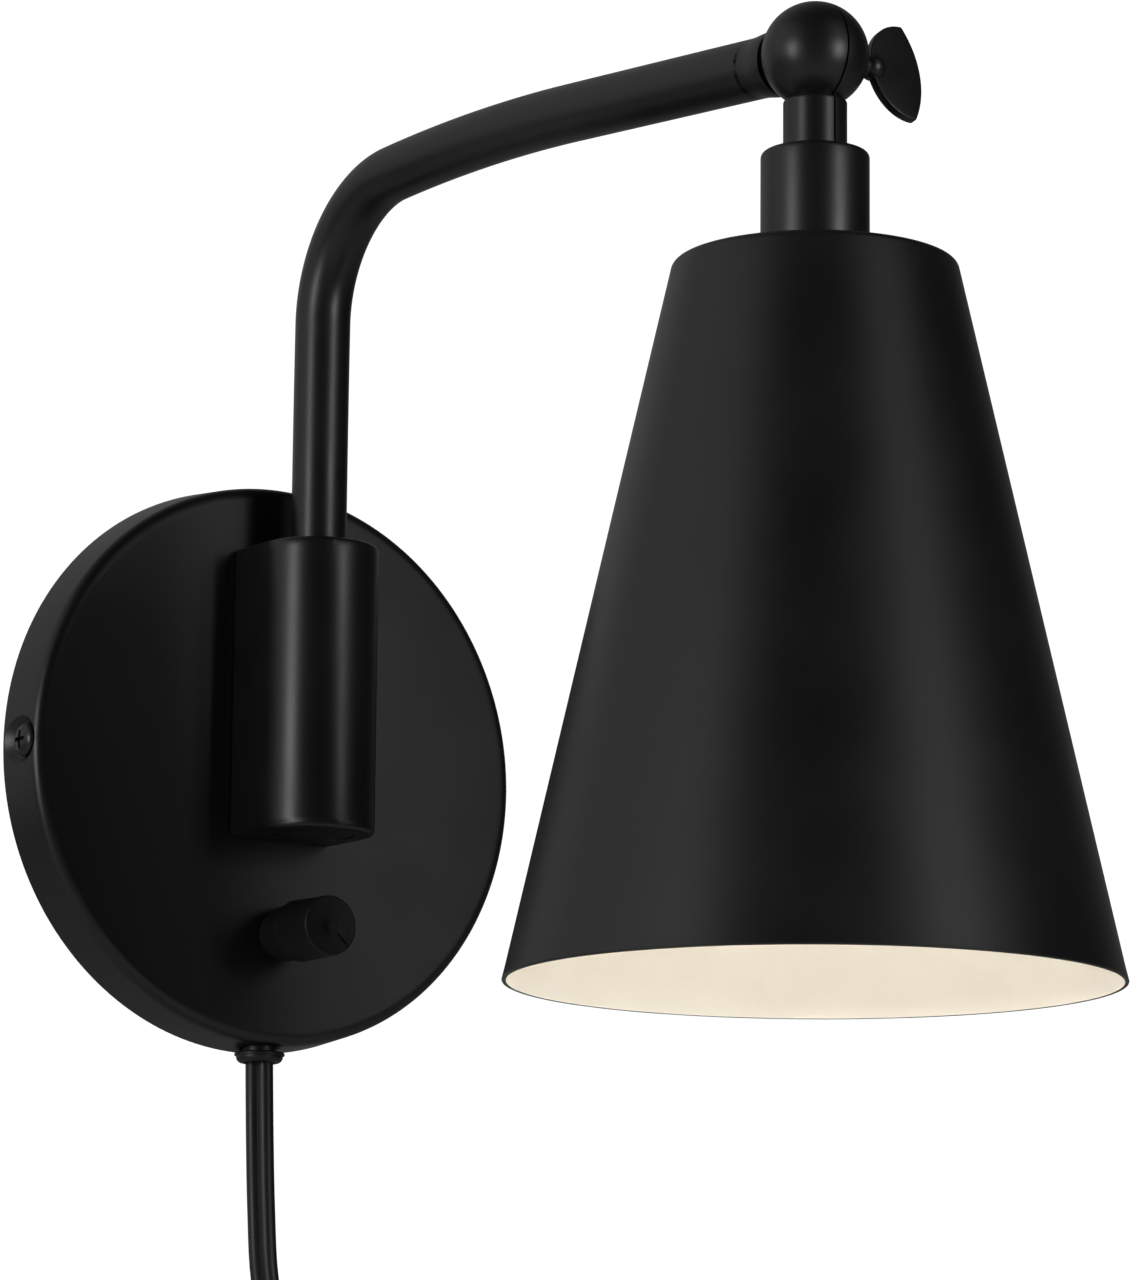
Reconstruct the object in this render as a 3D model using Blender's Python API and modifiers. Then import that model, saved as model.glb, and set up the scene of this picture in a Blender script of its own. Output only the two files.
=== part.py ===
"""Swing arm wall sconce with a plug-in cord: a cup canopy on a wall bracket, a pivot body, a bent tube arm,
a clamped ball joint, a cone shade over a lampholder, and a dimmer knob.

Metres, +Z up. The origin is the middle of the canopy's back face, on the wall. +Y points into the wall, and
the lamp stands out along -Y."""

import math

import bmesh
import bpy
from mathutils import Matrix, Vector

# Clearances
GAP = 0.0003  # between pieces that touch or are cut by each other
RUNNING = 0.0004  # between pieces that turn in each other

# Canopy
CANOPY_RADIUS = 0.0635
CANOPY_DEPTH = 0.0130
CANOPY_WALL = 0.0012
CANOPY_EDGE = 0.0028
CANOPY_DRAFT = 0.0009
DIMPLE_RADIUS = 0.0050  # round each side screw
DIMPLE_DEPTH = 0.0012

# Wall bracket and the two side screws that hold the canopy on it
STRAP_WIDTH = 0.0180
STRAP_THICKNESS = 0.0016
STRAP_HOLE_X = 0.0302
STRAP_HOLE_RADIUS = 0.0024
STRAP_CENTRE_HOLE = 0.0100
SIDE_SCREW_RADIUS = 0.0019
SIDE_SCREW_LENGTH = 0.0085
SIDE_HEAD_RADIUS = 0.0037
SIDE_HEAD_HEIGHT = 0.0014
SIDE_SCREW_DEPTH = 0.0070  # from the wall to the side screws' middle

# Pivot body, a block with a half-round front, and the screws that hold it to the canopy
BODY_RADIUS = 0.0134
BODY_STANDOFF = 0.0140  # from the canopy's face to the swing axis
BODY_TOP = 0.0471
BODY_BOTTOM = -0.0174
BODY_SCREW_RADIUS = 0.0019
BODY_SCREW_GRIP = 0.0055
BODY_SCREW_HEIGHTS = (0.0380, 0.0180)
CAVITY_RADIUS = 0.0092
CAVITY_HEIGHT = 0.0185
WEB_HEIGHT = 0.0040  # the floor that carries the arm
CAP_THICKNESS = 0.0020
LEAD_HOLE_RADIUS = 0.0030
LEAD_HOLE_HEIGHT = -0.0116

# Arm
TUBE_RADIUS = 0.00615
TUBE_WALL = 0.0010
EASE_START = 0.0660
EASE_RADIUS = 2.80
EASE_HEADING = math.radians(89.35)
BEND_RADIUS = 0.0292
RUN_RISE = math.radians(2.3)
RUN_FALL = math.radians(-4.8)
BOW_RADIUS = 0.546
ARM_REACH = 0.2052  # from the wall to the ball's centre
STUD_RADIUS = 0.0043
STUD_BORE = 0.0027
STUD_DROP = 0.0095  # how far the stud stands into the cavity
LEAD_RADIUS = 0.0019

# Ball joint
BALL_RADIUS = 0.0107
SEAM = 0.0005
NECK_RADIUS = 0.00635
NECK_GROOVE = 0.0057
NECK_CHAMFER = 0.0008
NECK_BORE = 0.0046
NECK_LENGTH = 0.0265  # from the ball's centre to the neck's lower end
TONGUE_THICKNESS = 0.0030
TONGUE_HALF_HEIGHT = 0.0035
TONGUE_SHANK = 0.0230
SOCKET_FLARE = 0.0006
SOCKET_LENGTH = 0.0080
SOCKET_SPIGOT = 0.0080
SOCKET_CLEARANCE = 0.0011
TILT_OUT = math.radians(55.0)
TILT_IN = math.radians(25.0)
SLOT_MARGIN = math.radians(2.0)
THUMB_SHANK_RADIUS = 0.0020
BOSS_RADIUS = 0.0027
BOSS_REACH = 0.0038  # from the ball's surface to the boss's centre
PADDLE_HALF_LENGTH = 0.01035
PADDLE_HALF_WIDTH = 0.0062
PADDLE_THICKNESS = 0.0016
PADDLE_REACH = 0.0093  # from the ball's surface to the paddle's centre
PADDLE_TURN = math.radians(13.0)

# Shade, the cup above it and the lampholder inside it
CUP_DROP = 0.0201  # from the ball's centre to the cup's top
CUP_RADIUS = 0.0108
CUP_HEIGHT = 0.0226
CUP_WALL = 0.0012
CUP_EDGE = 0.0016
SHADE_TOP_RADIUS = 0.0281
SHADE_RIM_RADIUS = 0.0602
SHADE_HEIGHT = 0.1424
SHADE_WALL = 0.0009
SHADE_EDGE = 0.0018
NIPPLE_RADIUS = 0.0042
NIPPLE_BORE = 0.0030
HOLDER_RADIUS = 0.0175
HOLDER_WALL = 0.0022
HOLDER_HEIGHT = 0.0400
HOLDER_CAP_HEIGHT = 0.0120
SHELL_RADIUS = 0.0136
SHELL_WALL = 0.0005
SHELL_HEIGHT = 0.0260
THREAD_PITCH = 0.00362
THREAD_DEPTH = 0.0006

# Dimmer and knob
KNOB_HEIGHT = -0.0382
KNOB_RADIUS = 0.0066
KNOB_LENGTH = 0.0126
KNOB_FACE = 0.0347  # from the wall to the knob's end
KNOB_TAPER = 0.0003
KNOB_CHAMFER = 0.0005
POINTER_ANGLE = math.radians(-45.0)
COLLAR_RADIUS = 0.0061
COLLAR_LENGTH = 0.0055
COLLAR_NECK = 0.0050
SHAFT_RADIUS = 0.0028
DIMMER_BUSH_WALL = 0.0009
DIMMER_BOX = (0.0230, 0.0190)

# Cord
GROMMET_RADIUS = 0.0056
GROMMET_DROP = 0.0022
GROMMET_LIP = 0.0008
GROMMET_SHOULDER = 0.0018  # from the lip in to the neck
GROMMET_CURVE = 0.0014
GROMMET_CATCH = 0.0015  # height of the lip inside the canopy
GROMMET_SEAT = 0.0034  # from the canopy's outside to the lip that holds the grommet inside
CORD_RADIUS = 0.0026
COIL_MIDDLE = 0.0350
COIL_HALF_WIDTH = 0.0100
COIL_HALF_DEPTH = 0.0080
COIL_CENTRE = Vector((-0.0240, -0.0160, -0.1720))
CORD_ROUTE = (
    (0.0000, -0.0065, -0.0690),
    (0.0000, -0.0073, -0.0830),
    (0.0001, -0.0082, -0.0980),
    (0.0006, -0.0093, -0.1130),
    (0.0026, -0.0110, -0.1250),
    (0.0066, -0.0134, -0.1330),
    (0.0112, -0.0154, -0.1388),
)
TAIL_ROUTE = (
    (0.0112, -0.0160, -0.2052),
    (0.0128, -0.0158, -0.2130),
    (0.0132, -0.0154, -0.2210),
)
PLUG_LENGTH = 0.0260
PLUG_WIDTH = 0.0240
PLUG_DEPTH = 0.0130
BLADE_SPREAD = 0.0127
BLADE_SIZE = (0.0015, 0.0064, 0.0170)

UPWARD = (0.0, 0.0, 0.0)
DOWNWARD = (math.pi, 0.0, 0.0)
FORWARD = (math.pi / 2, 0.0, 0.0)
RIGHTWARD = (math.pi / 2, 0.0, math.pi / 2)
LEFTWARD = (math.pi / 2, 0.0, -math.pi / 2)
FULL_TURN = 2.0 * math.pi
CUTTER_OVERRUN = 0.0050
MERGE_DISTANCE = 0.00001

# Places worked out from the sizes above
SWING_Y = -(CANOPY_DEPTH + BODY_STANDOFF)
WEB_TOP = BODY_BOTTOM + CAVITY_HEIGHT + WEB_HEIGHT
WASHER_THICKNESS = 0.0008
LEG_BOTTOM = WEB_TOP + WASHER_THICKNESS + 2.0 * GAP
GROMMET_Y = -CANOPY_DEPTH / 2.0


def clear_scene():
    for obj in list(bpy.data.objects):
        bpy.data.objects.remove(obj, do_unlink=True)


def collection_named(name):
    found = bpy.data.collections.new(name)
    bpy.context.scene.collection.children.link(found)
    return found


def finish(name, colour, roughness, metallic=0.0):
    material = bpy.data.materials.new(name)
    material.use_nodes = True
    shader = material.node_tree.nodes["Principled BSDF"]
    shader.inputs["Base Color"].default_value = (*colour, 1.0)
    shader.inputs["Roughness"].default_value = roughness
    shader.inputs["Metallic"].default_value = metallic
    return material


clear_scene()
PARTS = collection_named("swing_arm_wall_sconce")
CUTTERS = collection_named("cutters")
CUTTERS.hide_render = True

BLACK_PAINT = finish("satin_black_paint", (0.012, 0.012, 0.012), 0.42)
BLACK_SCREW = finish("black_oxide_steel", (0.03, 0.03, 0.03), 0.35, 0.8)
ZINC = finish("zinc_plated_steel", (0.55, 0.56, 0.58), 0.35, 1.0)
BRASS = finish("brass", (0.70, 0.52, 0.24), 0.3, 1.0)
NYLON = finish("white_nylon", (0.80, 0.79, 0.75), 0.5)
SPRING_STEEL = finish("spring_steel", (0.30, 0.30, 0.32), 0.3, 1.0)
PHENOLIC = finish("black_phenolic", (0.015, 0.013, 0.012), 0.35)
BLACK_PLASTIC = finish("black_plastic", (0.014, 0.014, 0.015), 0.5)
BLACK_VINYL = finish("black_vinyl", (0.010, 0.010, 0.011), 0.45)
LEAD_SLEEVE = finish("lead_sleeve", (0.02, 0.02, 0.02), 0.6)
NICKEL = finish("nickel_plate", (0.66, 0.64, 0.60), 0.25, 1.0)


def add_object(name, data, material, home, centre, turn):
    obj = bpy.data.objects.new(name, data)
    home.objects.link(obj)
    obj.location = centre
    obj.rotation_euler = turn
    if material is not None:
        data.materials.append(material)
    if home is CUTTERS:
        obj.hide_render = True
        obj.display_type = "WIRE"
    return obj


def arc(centre_r, centre_z, radius, start, end, steps):
    """Points along an arc, its angles in degrees from outwards towards up."""
    found = []
    for index in range(steps + 1):
        angle = math.radians(start + (end - start) * index / steps)
        found.append((centre_r + radius * math.cos(angle), centre_z + radius * math.sin(angle)))
    return found


def turned(name, profile, material, centre=(0, 0, 0), turn=UPWARD, sides=32, ring=False, home=None):
    """A turned solid: a profile of (radius, height) down its outer side, closed on the axis or as a ring."""
    count = len(profile)
    edges = [(index, index + 1) for index in range(count - 1)]
    if ring:
        edges.append((count - 1, 0))
    mesh = bpy.data.meshes.new(name)
    mesh.from_pydata([(radius, 0.0, height) for radius, height in profile], edges, [])
    obj = add_object(name, mesh, material, home or PARTS, centre, turn)
    screw = obj.modifiers.new("turn", "SCREW")
    screw.steps = sides
    screw.render_steps = sides
    screw.use_merge_vertices = True
    screw.merge_threshold = MERGE_DISTANCE
    screw.use_smooth_shade = True
    return obj


def sleeve(name, outer, inner, bottom, top, material, centre=(0, 0, 0), turn=UPWARD, sides=32):
    profile = [(inner, top), (outer, top), (outer, bottom), (inner, bottom)]
    return turned(name, profile, material, centre, turn, sides, ring=True)


def rounded(mesh, angle=math.radians(35.0)):
    mesh.shade_smooth()
    mesh.set_sharp_from_angle(angle=angle)


def mesh_from(obj):
    """Replaces a curve object by its mesh, with the caps welded on."""
    graph = bpy.context.evaluated_depsgraph_get()
    mesh = bpy.data.meshes.new_from_object(obj.evaluated_get(graph))
    shape = bmesh.new()
    shape.from_mesh(mesh)
    bmesh.ops.remove_doubles(shape, verts=shape.verts, dist=MERGE_DISTANCE)
    shape.to_mesh(mesh)
    shape.free()
    rounded(mesh)
    made = bpy.data.objects.new(obj.name, mesh)
    for home in obj.users_collection:
        home.objects.link(made)
    made.matrix_world = obj.matrix_world
    made.hide_render = obj.hide_render
    made.display_type = obj.display_type
    name = obj.name
    bpy.data.objects.remove(obj, do_unlink=True)
    made.name = name
    return made


def plate(name, outlines, thickness, material, centre=(0, 0, 0), turn=UPWARD, home=None):
    """A flat piece of the given outlines, its thickness centred on its own plane."""
    curve = bpy.data.curves.new(name, "CURVE")
    curve.dimensions = "2D"
    curve.fill_mode = "BOTH"
    curve.extrude = thickness / 2.0
    for outline in outlines:
        spline = curve.splines.new("POLY")
        spline.points.add(len(outline) - 1)
        for point, (x, y) in zip(spline.points, outline):
            point.co = (x, y, 0.0, 1.0)
        spline.use_cyclic_u = True
    obj = add_object(name, curve, material, home or PARTS, centre, turn)
    bpy.context.view_layer.update()
    return mesh_from(obj)


def pipe(name, points, radius, material, resolution, capped=True):
    """A round tube or wire along the points."""
    curve = bpy.data.curves.new(name, "CURVE")
    curve.dimensions = "3D"
    curve.bevel_depth = radius
    curve.bevel_resolution = resolution
    curve.use_fill_caps = capped
    spline = curve.splines.new("POLY")
    spline.points.add(len(points) - 1)
    for point, place in zip(spline.points, points):
        point.co = (*place, 1.0)
    return add_object(name, curve, material, PARTS, (0, 0, 0), UPWARD)


def block(name, size, centre, material=None, home=None, turn=UPWARD):
    mesh = bpy.data.meshes.new(name)
    shape = bmesh.new()
    bmesh.ops.create_cube(shape, size=1.0, matrix=Matrix.Diagonal((*size, 1.0)))
    shape.to_mesh(mesh)
    shape.free()
    return add_object(name, mesh, material, home or PARTS, centre, turn)


def drill(name, radius, length, centre, turn=UPWARD, sides=20):
    """A round cutter, centred on its place and pointing along its turned Z."""
    mesh = bpy.data.meshes.new(name)
    shape = bmesh.new()
    bmesh.ops.create_cone(
        shape, cap_ends=True, segments=sides, radius1=radius, radius2=radius, depth=length
    )
    shape.to_mesh(mesh)
    shape.free()
    return add_object(name, mesh, None, CUTTERS, centre, turn)


def combine(piece, other, operation):
    step = piece.modifiers.new(other.name, "BOOLEAN")
    step.operation = operation
    step.object = other
    step.solver = "EXACT"


def cut(piece, *cutters):
    for cutter in cutters:
        combine(piece, cutter, "DIFFERENCE")


def soften(piece, width, segments=2):
    bevel = piece.modifiers.new("edges", "BEVEL")
    bevel.width = width
    bevel.segments = segments
    bevel.limit_method = "ANGLE"
    bevel.angle_limit = math.radians(50.0)


def axis_empty(name, place):
    empty = bpy.data.objects.new(name, None)
    empty.location = place
    PARTS.objects.link(empty)
    return empty


def carry(empty, *pieces):
    """Parents pieces to an axis empty and leaves them where they are."""
    offset = Matrix.Translation(-Vector(empty.location))
    for piece in pieces:
        piece.parent = empty
        piece.matrix_parent_inverse = offset


def ring_points(radius, sides, start=0.0):
    return [
        (radius * math.cos(start + FULL_TURN * i / sides), radius * math.sin(start + FULL_TURN * i / sides))
        for i in range(sides)
    ]


def oval_points(half_x, half_y, sides):
    return [(half_x * x, half_y * y) for x, y in ring_points(1.0, sides)]


def canopy_outline(inset):
    """The canopy's outer profile, or its inner one at the wall's thickness inside it."""
    corner = CANOPY_EDGE - inset
    centre_r = CANOPY_RADIUS - CANOPY_DRAFT - CANOPY_EDGE
    centre_z = CANOPY_DEPTH - CANOPY_EDGE
    return [(0.0, centre_z + corner)] + arc(centre_r, centre_z, corner, 90, 0, 4) + [(CANOPY_RADIUS - inset, 0.0)]


def make_canopy():
    outer = canopy_outline(0.0)
    inner = canopy_outline(CANOPY_WALL)
    canopy = turned("canopy", outer + inner[::-1], BLACK_PAINT, turn=FORWARD, sides=56)
    deep = 2.0 * CUTTER_OVERRUN
    face = -CANOPY_DEPTH
    cut(canopy, drill("canopy_lead_hole", LEAD_HOLE_RADIUS, deep, (0, face, LEAD_HOLE_HEIGHT), FORWARD))
    cut(canopy, drill("canopy_dimmer_hole", dimmer_bush_radius() + GAP, deep, (0, face, KNOB_HEIGHT), FORWARD))
    for height in BODY_SCREW_HEIGHTS:
        hole = BODY_SCREW_RADIUS + GAP
        cut(canopy, drill(f"canopy_screw_hole_{height * 1000:.0f}", hole, deep, (0, face, height), FORWARD))
    for word, turn, side in (("left", LEFTWARD, -1.0), ("right", RIGHTWARD, 1.0)):
        sink_side_screw(canopy, word, turn, (side * dimple_floor(), -SIDE_SCREW_DEPTH, 0.0))
    cord_hole = grommet_neck() + GAP
    cut(canopy, drill("canopy_cord_hole", cord_hole, deep, (0, GROMMET_Y, -CANOPY_RADIUS)))


def dimple_floor():
    """From the canopy's axis to the bottom of the dimple that a side screw's head sits in."""
    sloped = CANOPY_DEPTH - CANOPY_EDGE
    return CANOPY_RADIUS - CANOPY_DRAFT * SIDE_SCREW_DEPTH / sloped - DIMPLE_DEPTH


def sink_side_screw(canopy, word, turn, place):
    """Presses a dimple into the canopy's side, its back standing in by the wall, and drills it."""
    floor = SIDE_HEAD_RADIUS + GAP
    overlap = CANOPY_WALL / 4.0
    back = [(0.0, overlap), (DIMPLE_RADIUS, overlap), (floor + GAP, -CANOPY_WALL), (0.0, -CANOPY_WALL)]
    combine(canopy, turned(f"dimple_back_{word}", back, None, place, turn, home=CUTTERS), "UNION")
    rise = 3.0 * DIMPLE_DEPTH
    spread = floor + (DIMPLE_RADIUS - floor) * rise / DIMPLE_DEPTH
    hollow = [(0.0, rise), (spread, rise), (floor, 0.0), (0.0, 0.0)]
    cut(canopy, turned(f"dimple_{word}", hollow, None, place, turn, home=CUTTERS))
    deep = 2.0 * CUTTER_OVERRUN
    cut(canopy, drill(f"canopy_side_hole_{word}", SIDE_SCREW_RADIUS + GAP, deep, place, turn))


def dimmer_bush_radius():
    return SHAFT_RADIUS + RUNNING + DIMMER_BUSH_WALL


def grommet_neck():
    return GROMMET_RADIUS - GROMMET_SHOULDER


def make_wall_bracket():
    """A strap against the wall whose ends turn out and take the side screws."""
    half_length = dimple_floor() - CANOPY_WALL - GAP
    tab = CANOPY_DEPTH - CANOPY_EDGE
    path = [(-half_length, -tab), (-half_length, 0.0), (half_length, 0.0), (half_length, -tab)]
    mesh = bpy.data.meshes.new("wall_bracket")
    shape = bmesh.new()
    corners = [shape.verts.new((x, y, -STRAP_WIDTH / 2.0)) for x, y in path]
    edges = [shape.edges.new(pair) for pair in zip(corners, corners[1:])]
    raised = bmesh.ops.extrude_edge_only(shape, edges=edges)["geom"]
    lifted = [part for part in raised if isinstance(part, bmesh.types.BMVert)]
    bmesh.ops.translate(shape, verts=lifted, vec=(0, 0, STRAP_WIDTH))
    bmesh.ops.recalc_face_normals(shape, faces=shape.faces)
    shape.to_mesh(mesh)
    shape.free()
    bracket = add_object("wall_bracket", mesh, ZINC, PARTS, (0, 0, 0), UPWARD)
    wall = bracket.modifiers.new("thickness", "SOLIDIFY")
    wall.thickness = STRAP_THICKNESS
    wall.offset = bracket_side(mesh)
    wall.use_even_offset = True
    deep = 4.0 * CUTTER_OVERRUN
    cut(bracket, drill("bracket_centre_hole", STRAP_CENTRE_HOLE / 2.0, deep, (0, 0, 0), FORWARD))
    for side in (-1.0, 1.0):
        word = "left" if side < 0 else "right"
        place = (side * STRAP_HOLE_X, 0, 0)
        cut(bracket, drill(f"bracket_wall_hole_{word}", STRAP_HOLE_RADIUS, deep, place, FORWARD))
        tapped = (side * half_length, -SIDE_SCREW_DEPTH, 0)
        cut(bracket, drill(f"bracket_tab_hole_{word}", SIDE_SCREW_RADIUS + GAP, deep, tapped, RIGHTWARD))


def bracket_side(mesh):
    """Solidify's offset that grows the strap away from the wall: its middle face points to -Y or to +Y."""
    middle = min(mesh.polygons, key=lambda face: abs(face.center.x) + abs(face.center.y))
    return 1.0 if middle.normal.y < 0 else -1.0


def cross_slot(name, centre, turn, width, depth):
    """Two crossing blocks that cut a cross recess; returned as two cutters."""
    arm_a = block(f"{name}_slot_a", (width, width / 4.0, depth), centre, home=CUTTERS, turn=turn)
    arm_b = block(f"{name}_slot_b", (width / 4.0, width, depth), centre, home=CUTTERS, turn=turn)
    return arm_a, arm_b


def make_side_screws():
    for word, turn, x in (("left", LEFTWARD, -1.0), ("right", RIGHTWARD, 1.0)):
        head = SIDE_HEAD_RADIUS
        dome = [(0.0, SIDE_HEAD_HEIGHT), (head * 0.55, SIDE_HEAD_HEIGHT * 0.92), (head * 0.9, SIDE_HEAD_HEIGHT * 0.6)]
        shank = [(head, 0.0), (SIDE_SCREW_RADIUS, 0.0), (SIDE_SCREW_RADIUS, -SIDE_SCREW_LENGTH)]
        profile = dome + shank + [(0.0, -SIDE_SCREW_LENGTH - SIDE_SCREW_RADIUS * 0.5)]
        seat = (x * (dimple_floor() + GAP), -SIDE_SCREW_DEPTH, 0.0)
        screw = turned(f"side_screw_{word}", profile, BLACK_SCREW, seat, turn, sides=24)
        slot_centre = (x * (dimple_floor() + GAP + SIDE_HEAD_HEIGHT), -SIDE_SCREW_DEPTH, 0.0)
        cut(screw, *cross_slot(f"side_{word}", slot_centre, turn, head * 1.1, SIDE_HEAD_HEIGHT * 1.3))


def body_outline():
    """Half-round front and straight sides back to the canopy: x to the right, y to the front."""
    back = -BODY_STANDOFF + GAP
    front = arc(0.0, 0.0, BODY_RADIUS, 0, 180, 24)
    return [(BODY_RADIUS, back)] + front + [(-BODY_RADIUS, back)]


def make_pivot_body():
    middle = (BODY_TOP + BODY_BOTTOM) / 2.0
    outline = [(x, -y) for x, y in body_outline()][::-1]
    body = plate("pivot_body", [outline], BODY_TOP - BODY_BOTTOM, BLACK_PAINT, (0, SWING_Y, middle))
    soften(body, 0.0006)
    depth = BODY_TOP - WEB_TOP
    cut(body, drill("body_arm_bore", TUBE_RADIUS + RUNNING, 2.0 * depth, (0, SWING_Y, BODY_TOP), sides=36))
    stud_bore = STUD_RADIUS + RUNNING
    cut(body, drill("body_web_hole", stud_bore, 4.0 * WEB_HEIGHT, (0, SWING_Y, WEB_TOP), sides=24))
    cavity_top = BODY_BOTTOM + CAVITY_HEIGHT
    cavity = (0, SWING_Y, cavity_top - CAVITY_HEIGHT)
    cut(body, drill("body_cavity", CAVITY_RADIUS, 2.0 * CAVITY_HEIGHT, cavity, sides=32))
    lead_length = 2.0 * BODY_STANDOFF
    cut(body, drill("body_lead_hole", LEAD_HOLE_RADIUS, lead_length, (0, -CANOPY_DEPTH, LEAD_HOLE_HEIGHT), FORWARD))
    for height in BODY_SCREW_HEIGHTS:
        depth = 2.0 * (BODY_SCREW_GRIP + 2.0 * GAP)
        place = (0, -CANOPY_DEPTH, height)
        cut(body, drill(f"body_screw_hole_{height * 1000:.0f}", BODY_SCREW_RADIUS + GAP, depth, place, FORWARD))


def make_body_screws():
    inside = -CANOPY_DEPTH + CANOPY_WALL + GAP
    reach = CANOPY_WALL + GAP + BODY_SCREW_GRIP
    for word, height in zip(("upper", "lower"), BODY_SCREW_HEIGHTS):
        head_radius = 1.9 * BODY_SCREW_RADIUS
        head_height = BODY_SCREW_RADIUS
        profile = [
            (0.0, reach),
            (BODY_SCREW_RADIUS, reach),
            (BODY_SCREW_RADIUS, 0.0),
            (head_radius, 0.0),
            (head_radius * 0.9, -head_height),
            (0.0, -head_height),
        ]
        screw = turned(f"body_screw_{word}", profile, ZINC, (0, inside, height), FORWARD, sides=20)
        slot_centre = (0, inside + head_height, height)
        cut(screw, *cross_slot(f"body_{word}", slot_centre, FORWARD, head_radius * 1.1, head_height * 0.9))


def make_pivot_bearing():
    """Thrust washer, stud, spring washer and nut: the arm turns in the body and clamps on its web."""
    swing = (0, SWING_Y, 0)
    washer_bottom = WEB_TOP + GAP
    bore = STUD_RADIUS + RUNNING
    sleeve("thrust_washer", TUBE_RADIUS, bore, washer_bottom, washer_bottom + WASHER_THICKNESS, NYLON, swing)
    plug = TUBE_RADIUS - TUBE_WALL - GAP
    plug_top = LEG_BOTTOM + 0.0120
    cavity_top = BODY_BOTTOM + CAVITY_HEIGHT
    stud_bottom = cavity_top - STUD_DROP
    profile = [
        (STUD_BORE, plug_top),
        (plug, plug_top),
        (plug, LEG_BOTTOM),
        (STUD_RADIUS, LEG_BOTTOM),
        (STUD_RADIUS, stud_bottom),
        (STUD_BORE, stud_bottom),
    ]
    stud = turned("swivel_stud", profile, ZINC, swing, sides=28, ring=True)
    spring_top = cavity_top - GAP
    spring = [
        (bore, spring_top - 0.0012),
        (bore, spring_top - 0.0006),
        (CAVITY_RADIUS * 0.8, spring_top),
        (CAVITY_RADIUS * 0.8, spring_top - 0.0006),
    ]
    spring_washer = turned("spring_washer", spring, SPRING_STEEL, swing, sides=28, ring=True)
    nut_top = spring_top - 0.0012 - GAP
    nut_height = 0.0040
    hexagon = ring_points(0.0078, 6)
    hole = ring_points(STUD_RADIUS + GAP, 24)
    nut = plate("swivel_nut", [hexagon, hole], nut_height, ZINC, (0, SWING_Y, nut_top - nut_height / 2.0))
    cap_radius = CAVITY_RADIUS - GAP
    cap = [(0.0, BODY_BOTTOM + CAP_THICKNESS), (cap_radius, BODY_BOTTOM + CAP_THICKNESS)]
    turned("pivot_cap", cap + [(cap_radius, BODY_BOTTOM), (0.0, BODY_BOTTOM)], BLACK_PAINT, swing)
    return stud, spring_washer, nut


def follow(place, heading, turns):
    """Points along a path in the arm's plane, through turns of (radius, end heading, steps)."""
    points = [place]
    for radius, end, steps in turns:
        start = heading
        for index in range(1, steps + 1):
            heading = start + (end - start) * index / steps
            previous = start + (end - start) * (index - 1) / steps
            out, up = points[-1]
            out += radius * (math.sin(previous) - math.sin(heading))
            up += radius * (math.cos(heading) - math.cos(previous))
            points.append((out, up))
    return points


def arm_line():
    """The arm's centre line from the ease below its bend to the ball's centre, as (distance out, height)."""
    turns = ((EASE_RADIUS, EASE_HEADING, 1), (BEND_RADIUS, RUN_RISE, 12), (BOW_RADIUS, RUN_FALL, 5))
    points = follow((-SWING_Y, EASE_START), math.pi / 2.0, turns)
    out, up = points[-1]
    left = (ARM_REACH - out) / math.cos(RUN_FALL)
    points.append((ARM_REACH, up + left * math.sin(RUN_FALL)))
    return points


def ball_centre():
    out, up = arm_line()[-1]
    return Vector((0.0, -out, up))


def back_along_run(distance):
    """The point on the run at a distance from the ball's centre."""
    run = Vector((0.0, -math.cos(RUN_FALL), math.sin(RUN_FALL)))
    return ball_centre() - run * distance


def make_arm_tube():
    line = arm_line()
    end = back_along_run(socket_face() + SOCKET_LENGTH + GAP)
    places = [Vector((0.0, SWING_Y, LEG_BOTTOM))] + [Vector((0.0, -out, up)) for out, up in line[:-1]] + [end]
    curve = pipe("arm_tube", places, TUBE_RADIUS, BLACK_PAINT, 6, capped=False)
    bpy.context.view_layer.update()
    tube = mesh_from(curve)
    wall = tube.modifiers.new("wall", "SOLIDIFY")
    wall.thickness = TUBE_WALL
    wall.offset = -1.0
    wall.use_even_offset = True
    wall.use_rim = True
    return tube


def socket_face():
    """From the ball's centre to the rim of the hollow end that the ball sits in."""
    hollow = BALL_RADIUS + SOCKET_CLEARANCE
    return math.sqrt(hollow**2 - (TUBE_RADIUS + SOCKET_FLARE) ** 2)


def make_arm_socket():
    """The arm's flared end piece, hollowed round the ball, with a spigot in the tube."""
    hollow = BALL_RADIUS + SOCKET_CLEARANCE
    face = -socket_face()
    rear = face - SOCKET_LENGTH
    bore = math.hypot(TONGUE_HALF_HEIGHT, TONGUE_THICKNESS / 2.0) + GAP
    spigot = TUBE_RADIUS - TUBE_WALL - GAP
    wide = TUBE_RADIUS + SOCKET_FLARE
    start = math.degrees(math.asin(wide / hollow))
    end = math.degrees(math.asin(bore / hollow))
    cup = [(r, z) for r, z in arc(0.0, 0.0, hollow, -90 + end, -90 + start, 5)]
    flare = [
        (wide, face - 0.0012),
        (wide - SOCKET_FLARE * 0.45, face - SOCKET_LENGTH * 0.42),
        (TUBE_RADIUS, face - SOCKET_LENGTH * 0.80),
        (TUBE_RADIUS, rear),
    ]
    inside = [(spigot, rear), (spigot, rear - SOCKET_SPIGOT), (bore, rear - SOCKET_SPIGOT)]
    centre = ball_centre()
    turn = (math.pi / 2.0 - RUN_FALL, 0.0, 0.0)
    return turned("arm_socket", cup + flare + inside, BLACK_PAINT, centre, turn, sides=24, ring=True)


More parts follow.
